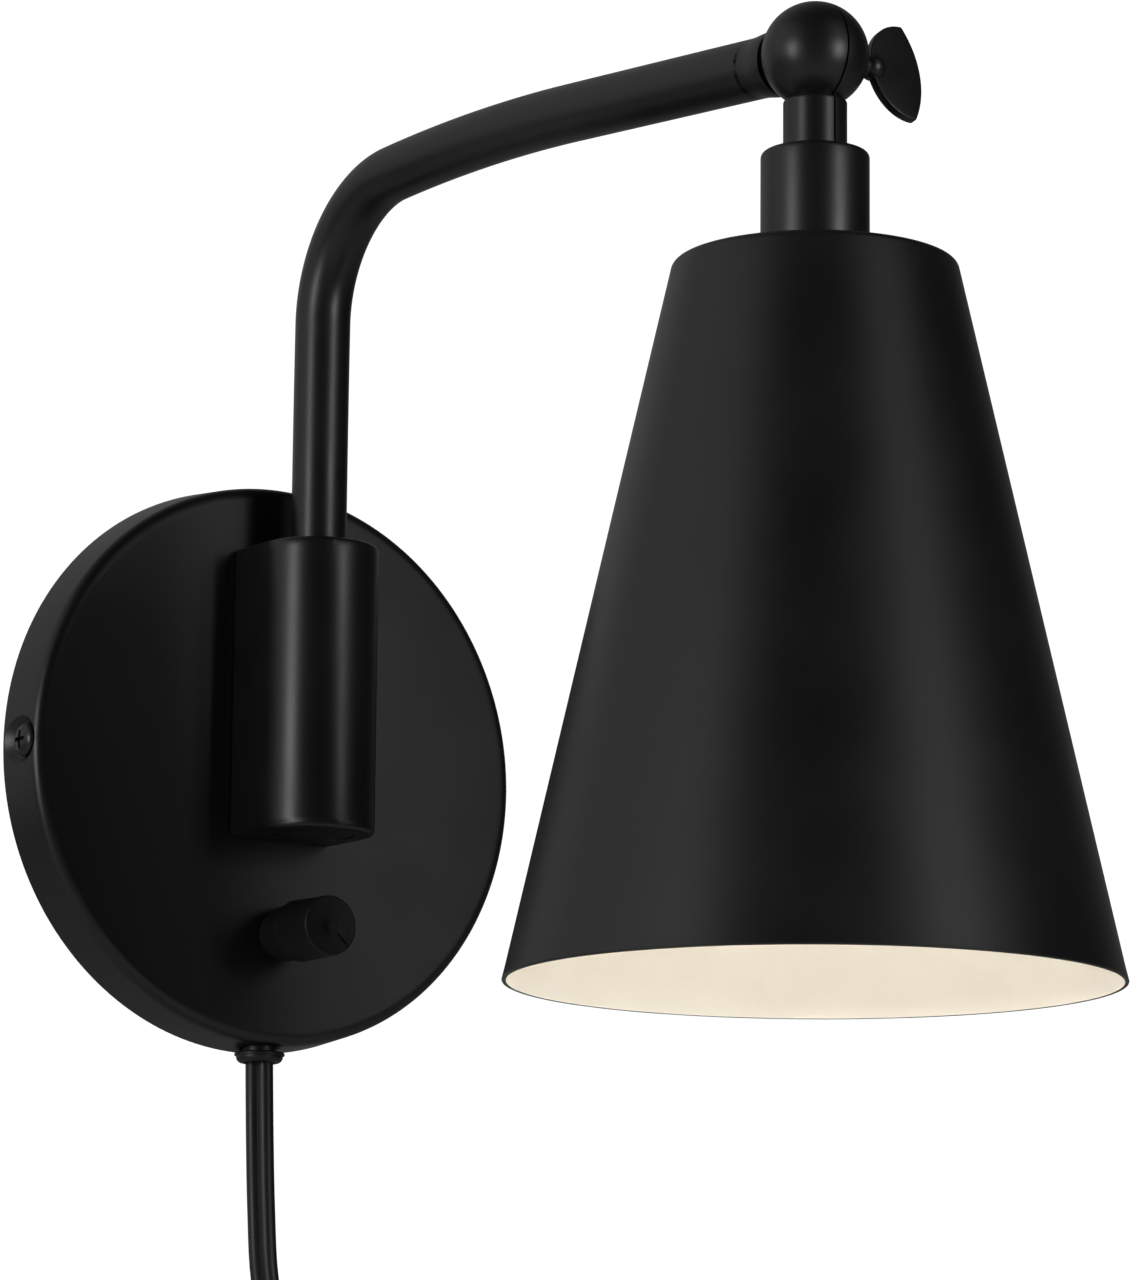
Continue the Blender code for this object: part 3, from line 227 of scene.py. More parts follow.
def spread_to(tree, value, low, high):
    span = tree.nodes.new("ShaderNodeMapRange")
    span.inputs["From Min"].default_value = 0.3
    span.inputs["From Max"].default_value = 0.7
    span.inputs["To Min"].default_value = low
    span.inputs["To Max"].default_value = high
    tree.links.new(value, span.inputs["Value"])
    return span.outputs["Result"]


def tint(tree, value, dark, light, socket):
    ramp = tree.nodes.new("ShaderNodeMix")
    ramp.data_type = "RGBA"
    ramp.inputs["A"].default_value = (*dark, 1.0)
    ramp.inputs["B"].default_value = (*light, 1.0)
    tree.links.new(value, ramp.inputs["Factor"])
    tree.links.new(ramp.outputs["Result"], socket)


def relief(tree, shader, value, strength, distance):
    bump = tree.nodes.new("ShaderNodeBump")
    bump.inputs["Strength"].default_value = strength
    bump.inputs["Distance"].default_value = distance
    tree.links.new(value, bump.inputs["Height"])
    tree.links.new(bump.outputs["Normal"], shader.inputs["Normal"])
    return bump


def coated(name, dark, light, rough_low, rough_high, peel=0.10, grain=900.0):
    """A sprayed coat: faint orange peel, a drifting sheen and hardly any change of colour."""
    finish, tree, shader, place = nodes_of(name, light, (rough_low + rough_high) / 2)
    broad = noise(tree, place, 60.0, 3.0)
    fine = noise(tree, place, grain, 2.0)
    tint(tree, spread_to(tree, broad, 0.0, 1.0), dark, light, shader.inputs["Base Color"])
    tree.links.new(spread_to(tree, broad, rough_low, rough_high), shader.inputs["Roughness"])
    relief(tree, shader, fine, peel, 0.0001)
    return finish


def metal(name, dark, light, rough_low, rough_high, stretch=(1.0, 1.0, 1.0), grain=1500.0):
    """Plated or drawn metal, its grain drawn out along one way."""
    finish, tree, shader, place = nodes_of(name, light, (rough_low + rough_high) / 2, 1.0)
    streaks = noise(tree, place, grain, 3.0, stretch)
    cloud = noise(tree, place, 180.0, 4.0)
    tint(tree, spread_to(tree, cloud, 0.0, 1.0), dark, light, shader.inputs["Base Color"])
    tree.links.new(spread_to(tree, streaks, rough_low, rough_high), shader.inputs["Roughness"])
    relief(tree, shader, streaks, 0.08, 0.00005)
    return finish


BLACK_PAINT = coated("satin_black_paint", (0.0065, 0.0065, 0.0068), (0.0085, 0.0085, 0.0088), 0.34, 0.39)
SHADE_PAINT = coated("matt_black_paint", (0.0060, 0.0060, 0.0063), (0.0078, 0.0078, 0.0081), 0.37, 0.42)
CREAM_ENAMEL = coated("cream_enamel", (0.76, 0.70, 0.60), (0.80, 0.745, 0.645), 0.42, 0.52)
BLACK_STEEL = coated("blackened_steel", (0.012, 0.012, 0.013), (0.022, 0.022, 0.024), 0.26, 0.36, 0.06)
PLASTIC = coated(
    "moulded_black_plastic", (0.0055, 0.0055, 0.0058), (0.0080, 0.0080, 0.0083), 0.46, 0.54, 0.16, 1600.0
)
PLASTIC.node_tree.nodes["Principled BSDF"].inputs["Specular IOR Level"].default_value = 0.32
VINYL = coated("black_vinyl", (0.007, 0.007, 0.0074), (0.0095, 0.0095, 0.010), 0.40, 0.50, 0.14, 700.0)
PHENOLIC = coated("black_phenolic", (0.012, 0.010, 0.009), (0.018, 0.015, 0.013), 0.20, 0.32, 0.10, 600.0)
NYLON = coated("white_nylon", (0.68, 0.67, 0.62), (0.78, 0.77, 0.73), 0.36, 0.50, 0.12, 800.0)
SLEEVING = coated("lead_sleeve", (0.018, 0.018, 0.019), (0.035, 0.035, 0.037), 0.55, 0.72, 0.25, 1400.0)
ZINC = metal("zinc_plate", (0.42, 0.43, 0.45), (0.60, 0.61, 0.62), 0.22, 0.42)
SPRING = metal("blued_spring_steel", (0.16, 0.17, 0.20), (0.30, 0.31, 0.34), 0.22, 0.38)
BRASS = metal("drawn_brass", (0.56, 0.40, 0.16), (0.72, 0.54, 0.26), 0.16, 0.32, (1.0, 1.0, 6.0))
NICKEL = metal("nickel_plate", (0.55, 0.53, 0.50), (0.68, 0.66, 0.62), 0.14, 0.28, (8.0, 8.0, 1.0))


def finished(piece, finish, body, node):
    piece.data.materials.clear()
    piece.data.materials.append(finish)
    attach(piece, body)
    if node:
        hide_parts(node)
    return piece


# ---------------------------------------------------------------- the cord, its coil and its plug

def along(route, step):
    """Evenly spaced points on a smooth curve through the route's own points."""
    knots = [Vector(point) for point in route]
    padded = [2.0 * knots[0] - knots[1]] + knots + [2.0 * knots[-1] - knots[-2]]
    fine = []
    for a, b, c, d in zip(padded, padded[1:], padded[2:], padded[3:]):
        for index in range(24):
            t = index / 24.0
            bend = 2.0 * b + (c - a) * t + (2.0 * a - 5.0 * b + 4.0 * c - d) * t * t
            fine.append(0.5 * (bend + (3.0 * b - a - 3.0 * c + d) * t * t * t))
    fine.append(knots[-1])
    chosen = [fine[0]]
    for point in fine[1:]:
        if (point - chosen[-1]).length >= step:
            chosen.append(point)
    chosen[-1] = fine[-1]
    return chosen


ROWS = (0.0410, 0.0364, 0.0318, 0.0272)
COLUMN = 0.0034


def eased(amount):
    amount = min(max(amount, 0.0), 1.0)
    return amount * amount * (3.0 - 2.0 * amount)


def coil_point(angle, radius, depth):
    turned = math.radians(angle)
    offset = Vector((radius * math.cos(turned), depth, radius * math.sin(turned)))
    return COIL_CENTRE + offset


def coil_points():
    """Four turns inwards on the front column, then four outwards on the rear one, clockwise."""
    stations = [(row, -COLUMN) for row in ROWS] + [(row, COLUMN) for row in ROWS[::-1]]
    points = []
    per_turn = 40
    for number, (row, depth) in enumerate(stations):
        last = number == len(stations) - 1
        row_after, depth_after = stations[min(number + 1, len(stations) - 1)]
        for index in range(per_turn):
            if last and index > per_turn - 4:
                break
            share = eased((index / per_turn - 0.75) / 0.25)
            radius = row + (row_after - row) * share
            side = depth + (depth_after - depth) * share
            points.append(coil_point(-360.0 * index / per_turn, radius, side))
    return points


LEAD_IN = (
    (0.0000, -0.0065, -0.0625),
    (0.0000, -0.0065, -0.0665),
    (0.0000, -0.0073, -0.0830),
    (0.0001, -0.0082, -0.0980),
    (0.0006, -0.0093, -0.1130),
    (0.0026, -0.0110, -0.1250),
    (0.0066, -0.0134, -0.1330),
    (0.0112, -0.0156, -0.1388),
    (0.0150, -0.0176, -0.1470),
    (0.0168, -0.0190, -0.1590),
    (0.0170, -0.0193, -0.1690),
)
TAIL = (
    (0.0203, -0.0130, -0.1650),
    (0.0222, -0.0138, -0.1800),
    (0.0196, -0.0150, -0.1950),
    (0.0146, -0.0160, -0.2060),
    (0.0129, -0.0158, -0.2130),
    (0.0132, -0.0154, -0.2210),
    (0.0132, -0.0154, -0.2270),
)


def cord_line():
    turns = coil_points()
    tail = along((turns[-1],) + TAIL, 0.0025)
    return along(LEAD_IN, 0.0025) + turns + tail[1:]


def cord_widthways(point):
    """Which way the cord's width lies: turned left at first, along Y in the coil, along X at the plug."""
    at_bush = Vector((0.446, -0.895, 0.0))
    coiled = Vector((0.0, -1.0, 0.0))
    at_plug = Vector((1.0, 0.0, 0.0))
    if point.z > -0.2000:
        share = eased((-0.1180 - point.z) / 0.0260)
        return at_bush.lerp(coiled, share)
    return coiled.lerp(at_plug, eased((-0.2000 - point.z) / 0.0180))


def twin_section():
    """The twin cord's outline: two round cores side by side with a groove between."""
    core = CORD_THICKNESS / 2.0
    offset = CORD_WIDTH / 2.0 - core
    meet = math.degrees(math.acos(offset * 0.97 / core))
    right = [(offset + core * math.cos(a), core * math.sin(a)) for a in
             [math.radians(-180 + meet + (360 - 2 * meet) * i / 13) for i in range(14)]]
    left = [(-x, -y) for x, y in right]
    return right + left


def make_cord():
    line = cord_line()
    section = twin_section()
    mesh = bpy.data.meshes.new("power_cord")
    points = []
    for index, centre in enumerate(line):
        ahead = (line[min(index + 1, len(line) - 1)] - line[max(index - 1, 0)]).normalized()
        wide = cord_widthways(centre)
        wide = (wide - ahead * wide.dot(ahead)).normalized()
        thick = ahead.cross(wide)
        points += [centre + wide * x + thick * y for x, y in section]
    count = len(section)
    faces = []
    for ring in range(len(line) - 1):
        for side in range(count):
            after = (side + 1) % count
            low, high = ring * count, (ring + 1) * count
            faces.append((low + side, low + after, high + after, high + side))
    faces.append(tuple(range(count))[::-1])
    faces.append(tuple(range((len(line) - 1) * count, len(line) * count)))
    mesh.from_pydata([tuple(point) for point in points], [], faces)
    cord = bpy.data.objects.new("power_cord_run", mesh)
    bpy.context.scene.collection.objects.link(cord)
    take(cord)
    bpy.ops.object.mode_set(mode="EDIT")
    bpy.ops.mesh.select_all(action="SELECT")
    bpy.ops.mesh.normals_make_consistent(inside=False)
    bpy.ops.object.mode_set(mode="OBJECT")
    shade(cord, 50.0)
    return cord, line


cord, cord_path = make_cord()
finished(cord, VINYL, "base", None)
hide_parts("power_cord", "cord_coil", "cord_tail")


def make_tie():
    """A flat twist tie round the coil's left side, its ends twisted together at the front."""
    middle = COIL_CENTRE + Vector((-0.0341, 0.0, 0.0))
    wide, deep, wall = 0.0196, 0.0162, 0.0008
    band = box("twist_tie", (wide, deep, 0.0040), middle)
    break_edges(band, 0.0030, 5)
    cut(band, box("hollow", (wide - 2 * wall, deep - 2 * wall, 0.0100), middle))
    knot = middle + Vector((0.0, -0.0086, 0.0))
    twist = turn_on_lathe("twist", arc(0, 0, 0.0011, 80, -80, 8), 20, knot)
    tail = box("tail", (0.0030, 0.0006, 0.0090), knot + Vector((0.0008, -0.0006, -0.0045)), (0.0, 0.22, 0.0))
    break_edges(tail, 0.0002, 2)
    join_on(band, twist, tail)
    shade(band, 35.0)
    return band


def make_plug():
    """A moulded plug: a rounded body with finger grips and a stepped strain relief on top."""
    top = Vector((0.0132, -0.0154, -0.2213))
    wide, thick, tall, blade_length = 0.0240, 0.0130, 0.0260, 0.0170
    body_top = top.z - 0.0070
    centre = Vector((top.x, top.y, body_top - tall / 2))
    body = box("plug_moulding", (wide, thick, tall), centre)
    break_edges(body, 0.0034, 6)
    for index in range(5):
        height = centre.z - 0.0046 + 0.0028 * index
        for side in (-1.0, 1.0):
            groove = (centre.x, centre.y + side * 0.0068, height)
            cut(body, box("groove", (0.0150, 0.0012, 0.0011), groove))
    neck = [(0.0036, 0.0004), (0.0040, 0.0), (0.0042, -0.0014), (0.0036, -0.0016), (0.0036, -0.0024)]
    neck += [(0.0046, -0.0026), (0.0048, -0.0040), (0.0042, -0.0042), (0.0042, -0.0050)]
    neck += [(0.0054, -0.0052), (0.0057, -0.0100), (0.0054, -0.0104)]
    join_on(body, turn_on_lathe("relief", neck, 40, top))
    shade(body, 35.0)
    blades = []
    for word, side in (("left", -1.0), ("right", 1.0)):
        blade_top = centre.z - tall / 2 - 0.0003
        middle = Vector((centre.x + side * 0.00635, centre.y, blade_top - blade_length / 2))
        blade = box(f"plug_blade_{word}_piece", (0.0015, 0.0064, blade_length), middle)
        break_edges(blade, 0.0006, 3)
        cut(blade, rod("hole", 0.0016, 0.0060, middle + Vector((0, 0, -0.0045)), RIGHTWARD, 24))
        shade(blade, 35.0)
        blades.append(blade)
    return body, blades


tie = finished(make_tie(), PLASTIC, "base", "coil_tie")
plug, blades = make_plug()
finished(plug, VINYL, "base", "plug_body")
for blade, word in zip(blades, ("left", "right")):
    finished(blade, NICKEL, "base", f"plug_blade_{word}")


# ---------------------------------------------------------------- canopy and what is on the wall

def make_canopy():
    """A spun cup with a rounded front edge; its rim lies on the wall."""
    corner, wall, draft = 0.0028, 0.0012, 0.0009
    centre_r = CANOPY_RADIUS - draft - corner
    centre_z = CANOPY_DEPTH - corner
    outer = [(0.0200, CANOPY_DEPTH), (centre_r - 0.0010, CANOPY_DEPTH)]
    outer += arc(centre_r, centre_z, corner, 90, 0, 14)
    rim = CANOPY_RADIUS - 0.0001
    outer += [(rim, 0.0007), (rim, 0.0002), (CANOPY_RADIUS - 0.0003, 0.0)]
    inner = [(CANOPY_RADIUS - wall + 0.0001, 0.0), (CANOPY_RADIUS - wall - 0.0001, 0.0003)]
    inner += arc(centre_r, centre_z, corner - wall, 0, 90, 8)
    inner += [(centre_r - 0.0010, CANOPY_DEPTH - wall), (0.0200, CANOPY_DEPTH - wall)]
    canopy = turn_on_lathe("canopy_cup", outer + inner, 192, turn=FORWARD)
    for name, radius, spot, turn in (
        ("lead_hole", 0.0030, (0, -CANOPY_DEPTH, -0.0116), FORWARD),
        ("dimmer_hole", 0.0045, (0, -CANOPY_DEPTH, KNOB_Z), FORWARD),
        ("upper_screw_hole", 0.0022, (0, -CANOPY_DEPTH, 0.0380), FORWARD),
        ("lower_screw_hole", 0.0022, (0, -CANOPY_DEPTH, 0.0180), FORWARD),
        ("cord_hole", 0.0045, (0, CORD_Y, -CANOPY_RADIUS), UP),
    ):
        cut(canopy, rod(name, radius, 0.0100, spot, turn, 40))
    for side, turn in ((-1.0, LEFTWARD), (1.0, RIGHTWARD)):
        press_dimple(canopy, (side * SCREW_FLOOR, SCREW_Y, 0), turn, wall)
    shade(canopy, 26.0)
    return canopy


def press_dimple(canopy, place, turn, wall):
    """Sinks the canopy's side for a screw head: a dish with a soft brim, standing in behind the wall."""
    back = [(0.0002, 0.0003), (0.0050, 0.0003), (0.0043, -wall), (0.0002, -wall)]
    join_on(canopy, turn_on_lathe("dimple_back", back, 64, place, turn))
    dish = [(0.0002, 0.0040), (0.0092, 0.0040), (0.0064, 0.0018), (0.0054, 0.0011)]
    dish += [(0.0048, 0.00062), (0.0044, 0.0003), (0.0041, 0.0001), (0.0038, 0.0), (0.0002, 0.0)]
    cut(canopy, turn_on_lathe("dimple", dish, 64, place, turn))
    cut(canopy, rod("side_hole", 0.0022, 0.0100, place, turn, 40))


def make_side_screw(word, side, turn):
    """A domed cross-recess screw in the canopy's side."""
    dome = [(0.0006, 0.00145), (0.0016, 0.00138), (0.0025, 0.00114), (0.0032, 0.00078), (0.0036, 0.00040)]
    dome += [(0.0037, 0.00018), (0.0037, 0.0)]
    shank = [(0.0019, -0.0001), (0.0019, -0.0085), (0.0012, -0.0094)]
    seat = (side * (SCREW_FLOOR + 0.0003), SCREW_Y, 0)
    screw = turn_on_lathe(f"side_screw_{word}_piece", dome + shank, 56, seat, turn)
    bottom = (side * (SCREW_FLOOR + 0.0015), SCREW_Y, 0)
    cut(screw, box("recess", (0.0009, 0.0040, 0.0021), bottom, turn))
    cut(screw, box("recess", (0.0040, 0.0009, 0.0021), bottom, turn))
    shade(screw, 32.0)
    return screw


def make_bracket():
    """The steel strap on the wall: punched, with its two ends turned out to take the side screws."""
    half, deep, thick, width = 0.06018, 0.0102, 0.0016, 0.0180
    strap = box("bracket_strap", (2 * half, thick, width), (0, -thick / 2, 0))
    for side in (-1.0, 1.0):
        join_on(strap, box("tab", (thick, deep, width), (side * (half - thick / 2), -deep / 2, 0)))
    break_edges(strap, 0.0004, 2, 60.0)
    cut(strap, rod("centre_hole", 0.0050, 0.02, turn=FORWARD, sides=56))
    for side in (-1.0, 1.0):
        slot_end = side * 0.0040
        middle = side * 0.0302
        cut(strap, rod("screw_hole", 0.0024, 0.02, (middle, 0, 0), FORWARD, 32))
        cut(strap, rod("tapped_hole", 0.0022, 0.02, (side * half, SCREW_Y, 0), RIGHTWARD, 32))
        cut(strap, rod("spare_hole", 0.0018, 0.02, (middle + 4 * slot_end, 0, 0.0045), FORWARD, 28))
        cut(strap, rod("spare_hole", 0.0018, 0.02, (middle + 4 * slot_end, 0, -0.0045), FORWARD, 28))
    shade(strap, 30.0)
    return strap


def make_grommet():
    """The lipped bush that the cord hangs out of: a flat lip, then a bowl in to the cord."""
    top = -CANOPY_RADIUS - 0.0002
    profile = [(0.0036, top + 0.0048), (0.0041, top + 0.0048), (0.0041, top + 0.0036), (0.0038, top + 0.0034)]
    profile += [(0.0038, top)] + arc(0.0051, top - 0.0005, 0.0005, 90, -30, 7)
    profile += arc(0.0038, top - 0.0010, 0.0014, 8, -80, 8)
    profile += [(0.0036, top - 0.0023), (0.0034, top - 0.0018)]
    bush = turn_on_lathe("grommet_bush", profile, 72, (0, CORD_Y, 0), ring=True)
    return bush


def make_dimmer():
    """The dimmer's case behind the canopy with its bush through the face."""
    back, front = -0.0016, -0.0115
    middle = (back + front) / 2
    case = box("dimmer_case", (0.0230, front - back, 0.0190), (0, middle, KNOB_Z))
    break_edges(case, 0.0009, 3)
    cut(case, box("seam", (0.0300, 0.0004, 0.0300), (0, middle - 0.0022, KNOB_Z)))
    join_on(case, box("core", (0.0222, 0.0060, 0.0182), (0, middle, KNOB_Z)))
    join_on(case, rod("bush", 0.0041, 0.0108, (0, -0.0162, KNOB_Z), FORWARD, 40))
    for x in (-0.0072, 0.0072):
        join_on(case, box("terminal", (0.0046, 0.0012, 0.0030), (x, back + 0.0002, KNOB_Z - 0.0060)))
    shade(case, 30.0)
    return case


def make_dimmer_nut():
    """The ring behind the knob, on a narrower neck."""
    front, step, back = 0.0215, 0.0160, 0.0133
    profile = [(0.0045, front), (0.0058, front), (0.0061, front - 0.0003), (0.0061, step + 0.0003)]
    profile += [(0.0058, step), (0.0050, step), (0.0050, back), (0.0045, back)]
    nut = turn_on_lathe("dimmer_ring", profile, 64, (0, 0, KNOB_Z), FORWARD, ring=True)
    return nut


def make_knob():
    """A plain round knob with a small hollow in its face and a pointer line cut to its edge."""
    front, back = -KNOB_FACE, -KNOB_FACE - 0.0126
    hollow = [(0.0004, front - 0.00042), (0.0010, front - 0.00036), (0.0015, front - 0.00020)]
    hollow += [(0.0019, front - 0.00006), (0.0022, front)]
    face = [(0.0052, front), (0.0060, front - 0.00003)] + arc(0.0061, front - 0.0005, 0.0005, 80, 0, 6)
    grip = [(0.00662, front - 0.0014), (0.0068, back + 0.0012), (0.0069, back + 0.0004), (0.0066, back)]
    bore = [(0.0032, back), (0.0031, back + 0.0006), (0.0031, front - 0.0040), (0.0004, front - 0.0040)]
    profile = hollow + face + grip + bore
    knob = turn_on_lathe("knob_grip", profile, 96, (0, 0, KNOB_Z), FORWARD)
    turned = math.radians(-45.0)
    spot = (0.0047 * math.cos(turned), KNOB_FACE, KNOB_Z + 0.0047 * math.sin(turned))
    cut(knob, box("pointer", (0.0048, 0.0008, 0.0006), spot, (0.0, -turned, 0.0)))
    shade(knob, 30.0)
    return knob


def make_connector(word, x):
    """A twist-on wire connector with gripping ribs."""
    profile = [(0.0006, 0.0160), (0.0017, 0.0158), (0.0023, 0.0150), (0.0034, 0.0040), (0.0036, 0.0020)]
    profile += [(0.0041, 0.0010), (0.0042, 0.0002), (0.0040, 0.0)]
    profile += [(0.0028, 0.0), (0.0026, 0.0030), (0.0006, 0.0060)]
    shell = turn_on_lathe(f"connector_{word}", profile, 48, (x, CORD_Y, 0.0140))
    for index in range(8):
        angle = math.radians(45.0 * index)
        spot = (x + 0.0031 * math.cos(angle), CORD_Y + 0.0031 * math.sin(angle), 0.0225)
        join_on(shell, box("rib", (0.0012, 0.0006, 0.0090), spot, (0.0, 0.0, angle)))
    shade(shell, 35.0)
    return shell


finished(make_canopy(), BLACK_PAINT, "base", "canopy")
finished(make_side_screw("left", -1.0, LEFTWARD), BLACK_STEEL, "base", "side_screw_left")
finished(make_side_screw("right", 1.0, RIGHTWARD), BLACK_STEEL, "base", "side_screw_right")
finished(make_bracket(), ZINC, "base", "wall_bracket")
finished(make_grommet(), VINYL, "base", "cord_grommet")
finished(make_dimmer(), PLASTIC, "base", "dimmer")
finished(make_dimmer_nut(), PLASTIC, "base", "dimmer_nut")
finished(make_knob(), PLASTIC, "dial", "knob")
for word, x in (("left", -0.0270), ("right", -0.0170)):
    finished(make_connector(word, x), NYLON, "base", f"wire_connector_{word}")


# ---------------------------------------------------------------- pivot body and arm

def make_pivot_body():
    """A block with a half-round front and straight sides back to the canopy, bored for the arm."""
    height = BODY_TOP - BODY_BOTTOM
    depth = -CANOPY_DEPTH - 0.0002 - SWING_Y
    nothing_selected()
    bpy.ops.mesh.primitive_circle_add(vertices=128, radius=BODY_RADIUS, fill_type="NGON", location=(0, 0, 0))
    body = bpy.context.object
    body.name = "pivot_block"
    bpy.ops.object.mode_set(mode="EDIT")
    bpy.ops.mesh.select_all(action="SELECT")
    bpy.ops.mesh.bisect(plane_co=(0, 0, 0), plane_no=(0, 1, 0), clear_outer=True)
    bpy.ops.mesh.extrude_region_move(TRANSFORM_OT_translate={"value": (0, depth, 0)})
    bpy.ops.mesh.select_all(action="SELECT")
    bpy.ops.mesh.dissolve_faces()
    bpy.ops.mesh.select_all(action="SELECT")
    bpy.ops.mesh.extrude_region_move(TRANSFORM_OT_translate={"value": (0, 0, height)})
    bpy.ops.mesh.select_all(action="SELECT")
    bpy.ops.mesh.normals_make_consistent(inside=False)
    bpy.ops.object.mode_set(mode="OBJECT")
    place_at(body, (0, SWING_Y, BODY_BOTTOM), UP)
    edge = 0.0011
    break_edges(body, edge, 5)
    bpy.ops.object.mode_set(mode="EDIT")
    for ring in (BODY_BOTTOM + 2.0 * edge, BODY_TOP - 2.0 * edge):
        bpy.ops.mesh.select_all(action="SELECT")
        bpy.ops.mesh.bisect(plane_co=(0, 0, ring), plane_no=(0, 0, 1))
    bpy.ops.object.mode_set(mode="OBJECT")
    arm_gap, foot_radius = 0.0003, 0.0092
    cut(body, rod("arm_bore", TUBE_RADIUS + arm_gap, 0.0840, (0, SWING_Y, BODY_TOP), sides=96))
    cut(body, rod("foot_bore", foot_radius, 0.0370, (0, SWING_Y, BODY_BOTTOM), sides=72))
    shade(body, 30.0)
    return body


def make_pivot_cap():
    middle, face, back = 0.0030, BODY_BOTTOM + 0.0001, BODY_BOTTOM + 0.0020
    profile = [(middle, back), (0.0090, back), (0.0091, BODY_BOTTOM + 0.0003), (0.0088, face), (middle, face)]
    return turn_on_lathe("pivot_foot_cap", profile, 72, (0, SWING_Y, 0))


def spin_on(angle, centre, steps):
    bpy.ops.mesh.spin(steps=steps, angle=angle, center=centre, axis=(1, 0, 0))


def make_arm():
    """The leg, the bend and the long falling run, drawn out of one ring of the tube."""
    nothing_selected()
    bpy.ops.mesh.primitive_circle_add(vertices=96, radius=TUBE_RADIUS, location=(0, 0, 0))
    arm = bpy.context.object
    arm.name = "arm_pipe"
    bpy.ops.object.mode_set(mode="EDIT")
    bpy.ops.mesh.select_all(action="SELECT")
    bpy.ops.transform.translate(value=(0, SWING_Y, 0.0070))
    for height in (0.0400, 0.0660):
        ring = arm_ring(arm)
        bpy.ops.mesh.extrude_region_move(TRANSFORM_OT_translate={"value": (0, 0, height - ring.z)})
    heading = math.pi / 2
    lean = (2.80, math.radians(89.35), 4)
    bend = (0.0292, math.radians(2.3), 64)
    sag = (0.546, FALL, 24)
    for radius, end, steps in (lean, bend, sag):
        ring = arm_ring(arm)
        inward = Vector((0, -math.sin(heading), -math.cos(heading)))
        centre = ring + radius * inward
        spin_on(end - heading, centre, steps)
        heading = end
    ring = arm_ring(arm)
    stop = BALL - run_direction() * 0.01790
    bpy.ops.mesh.extrude_region_move(TRANSFORM_OT_translate={"value": stop - ring})
    bpy.ops.mesh.select_all(action="SELECT")
    bpy.ops.mesh.remove_doubles(threshold=0.000002)
    bpy.ops.mesh.normals_make_consistent(inside=False)
    bpy.ops.object.mode_set(mode="OBJECT")
    wall = arm.modifiers.new("wall", "SOLIDIFY")
    wall.thickness = 0.0010
    wall.offset = -1.0
    wall.use_even_offset = True
    bpy.ops.object.modifier_apply(modifier="wall")
    shade(arm, 40.0)
    return arm


def arm_ring(arm):
    """The middle of the ring that is selected."""
    arm.update_from_editmode()
    chosen = [vertex.co for vertex in arm.data.vertices if vertex.select]
    return sum(chosen, Vector()) / len(chosen)


def run_direction():
    return Vector((0.0, -math.cos(FALL), math.sin(FALL)))


def make_socket():
    """The arm's end, flared a little and hollowed to take the ball."""
    hollow = BALL_RADIUS + 0.0016
    wide = TUBE_RADIUS + 0.0006
    face = -math.sqrt(hollow**2 - wide**2)
    start = math.degrees(math.asin(wide / hollow))
    end = math.degrees(math.asin(0.0041 / hollow))
    cup = arc(0.0, 0.0, hollow, -90 + end, -90 + start - 0.8, 12)
    edge = [(wide - 0.00006, face - 0.00005), (wide, face - 0.0002)]
    flare = []
    for index in range(10):
        share = eased(index / 9.0)
        flare.append((wide - 0.0006 * share, face - 0.0006 - 0.0070 * index / 9.0))
    inside = [(0.00485, face - 0.0086), (0.00485, face - 0.0150), (0.0041, face - 0.0150)]
    profile = cup + edge + flare + [(TUBE_RADIUS, face - 0.0086)] + inside
    turn = (math.pi / 2 - FALL, 0.0, 0.0)
    return turn_on_lathe("arm_end_socket", profile, 96, BALL, turn, ring=True)


finished(make_pivot_body(), BLACK_PAINT, "base", "pivot_body")
finished(make_pivot_cap(), BLACK_PAINT, "base", "pivot_cap")
finished(make_arm(), BLACK_PAINT, "arm", "arm_tube")
finished(make_socket(), BLACK_PAINT, "arm", "arm_socket")


# ---------------------------------------------------------------- ball joint and thumbscrew

def swept_slot():
    """The room that the tongue sweeps: a wedge between its two limits, its tip rounded."""
    end_radius, width, low, high = 0.0039, 0.0038, math.radians(-22.2), math.radians(61.8)
    tip_angle = (high - low) / 2
    nothing_selected()
    bpy.ops.mesh.primitive_circle_add(vertices=96, radius=0.0200, fill_type="NGON", location=(0, 0, 0))
    slot = bpy.context.object
    slot.name = "slot"
    bpy.ops.object.mode_set(mode="EDIT")
    for facing in (low + math.pi / 2, high - math.pi / 2):
        inwards = Vector((math.cos(facing), math.sin(facing), 0.0))
        bpy.ops.mesh.select_all(action="SELECT")
        bpy.ops.mesh.bisect(plane_co=-end_radius * inwards, plane_no=inwards, clear_inner=True)
    bpy.ops.mesh.select_all(action="SELECT")
    bpy.ops.mesh.extrude_region_move(TRANSFORM_OT_translate={"value": (0, 0, width)})
    bpy.ops.mesh.select_all(action="SELECT")
    bpy.ops.mesh.normals_make_consistent(inside=False)
    bpy.ops.mesh.select_all(action="DESELECT")
    bpy.ops.object.mode_set(mode="OBJECT")
    middle = (low + high) / 2
    tip = -end_radius / math.sin(tip_angle) * Vector((math.cos(middle), math.sin(middle), 0.0))
    for edge in slot.data.edges:
        ends = [slot.data.vertices[index].co.to_2d() for index in edge.vertices]
        edge.select = all((end - tip.to_2d()).length < 0.0001 for end in ends)
    bpy.ops.object.mode_set(mode="EDIT")
    bpy.ops.mesh.select_mode(type="EDGE")
    bpy.ops.mesh.bevel(offset=end_radius / math.tan(tip_angle), segments=13, affect="EDGES")
    bpy.ops.mesh.select_mode(type="VERT")
    bpy.ops.object.mode_set(mode="OBJECT")
    place_at(slot, (-width / 2, 0, 0), RIGHTWARD)
    return slot


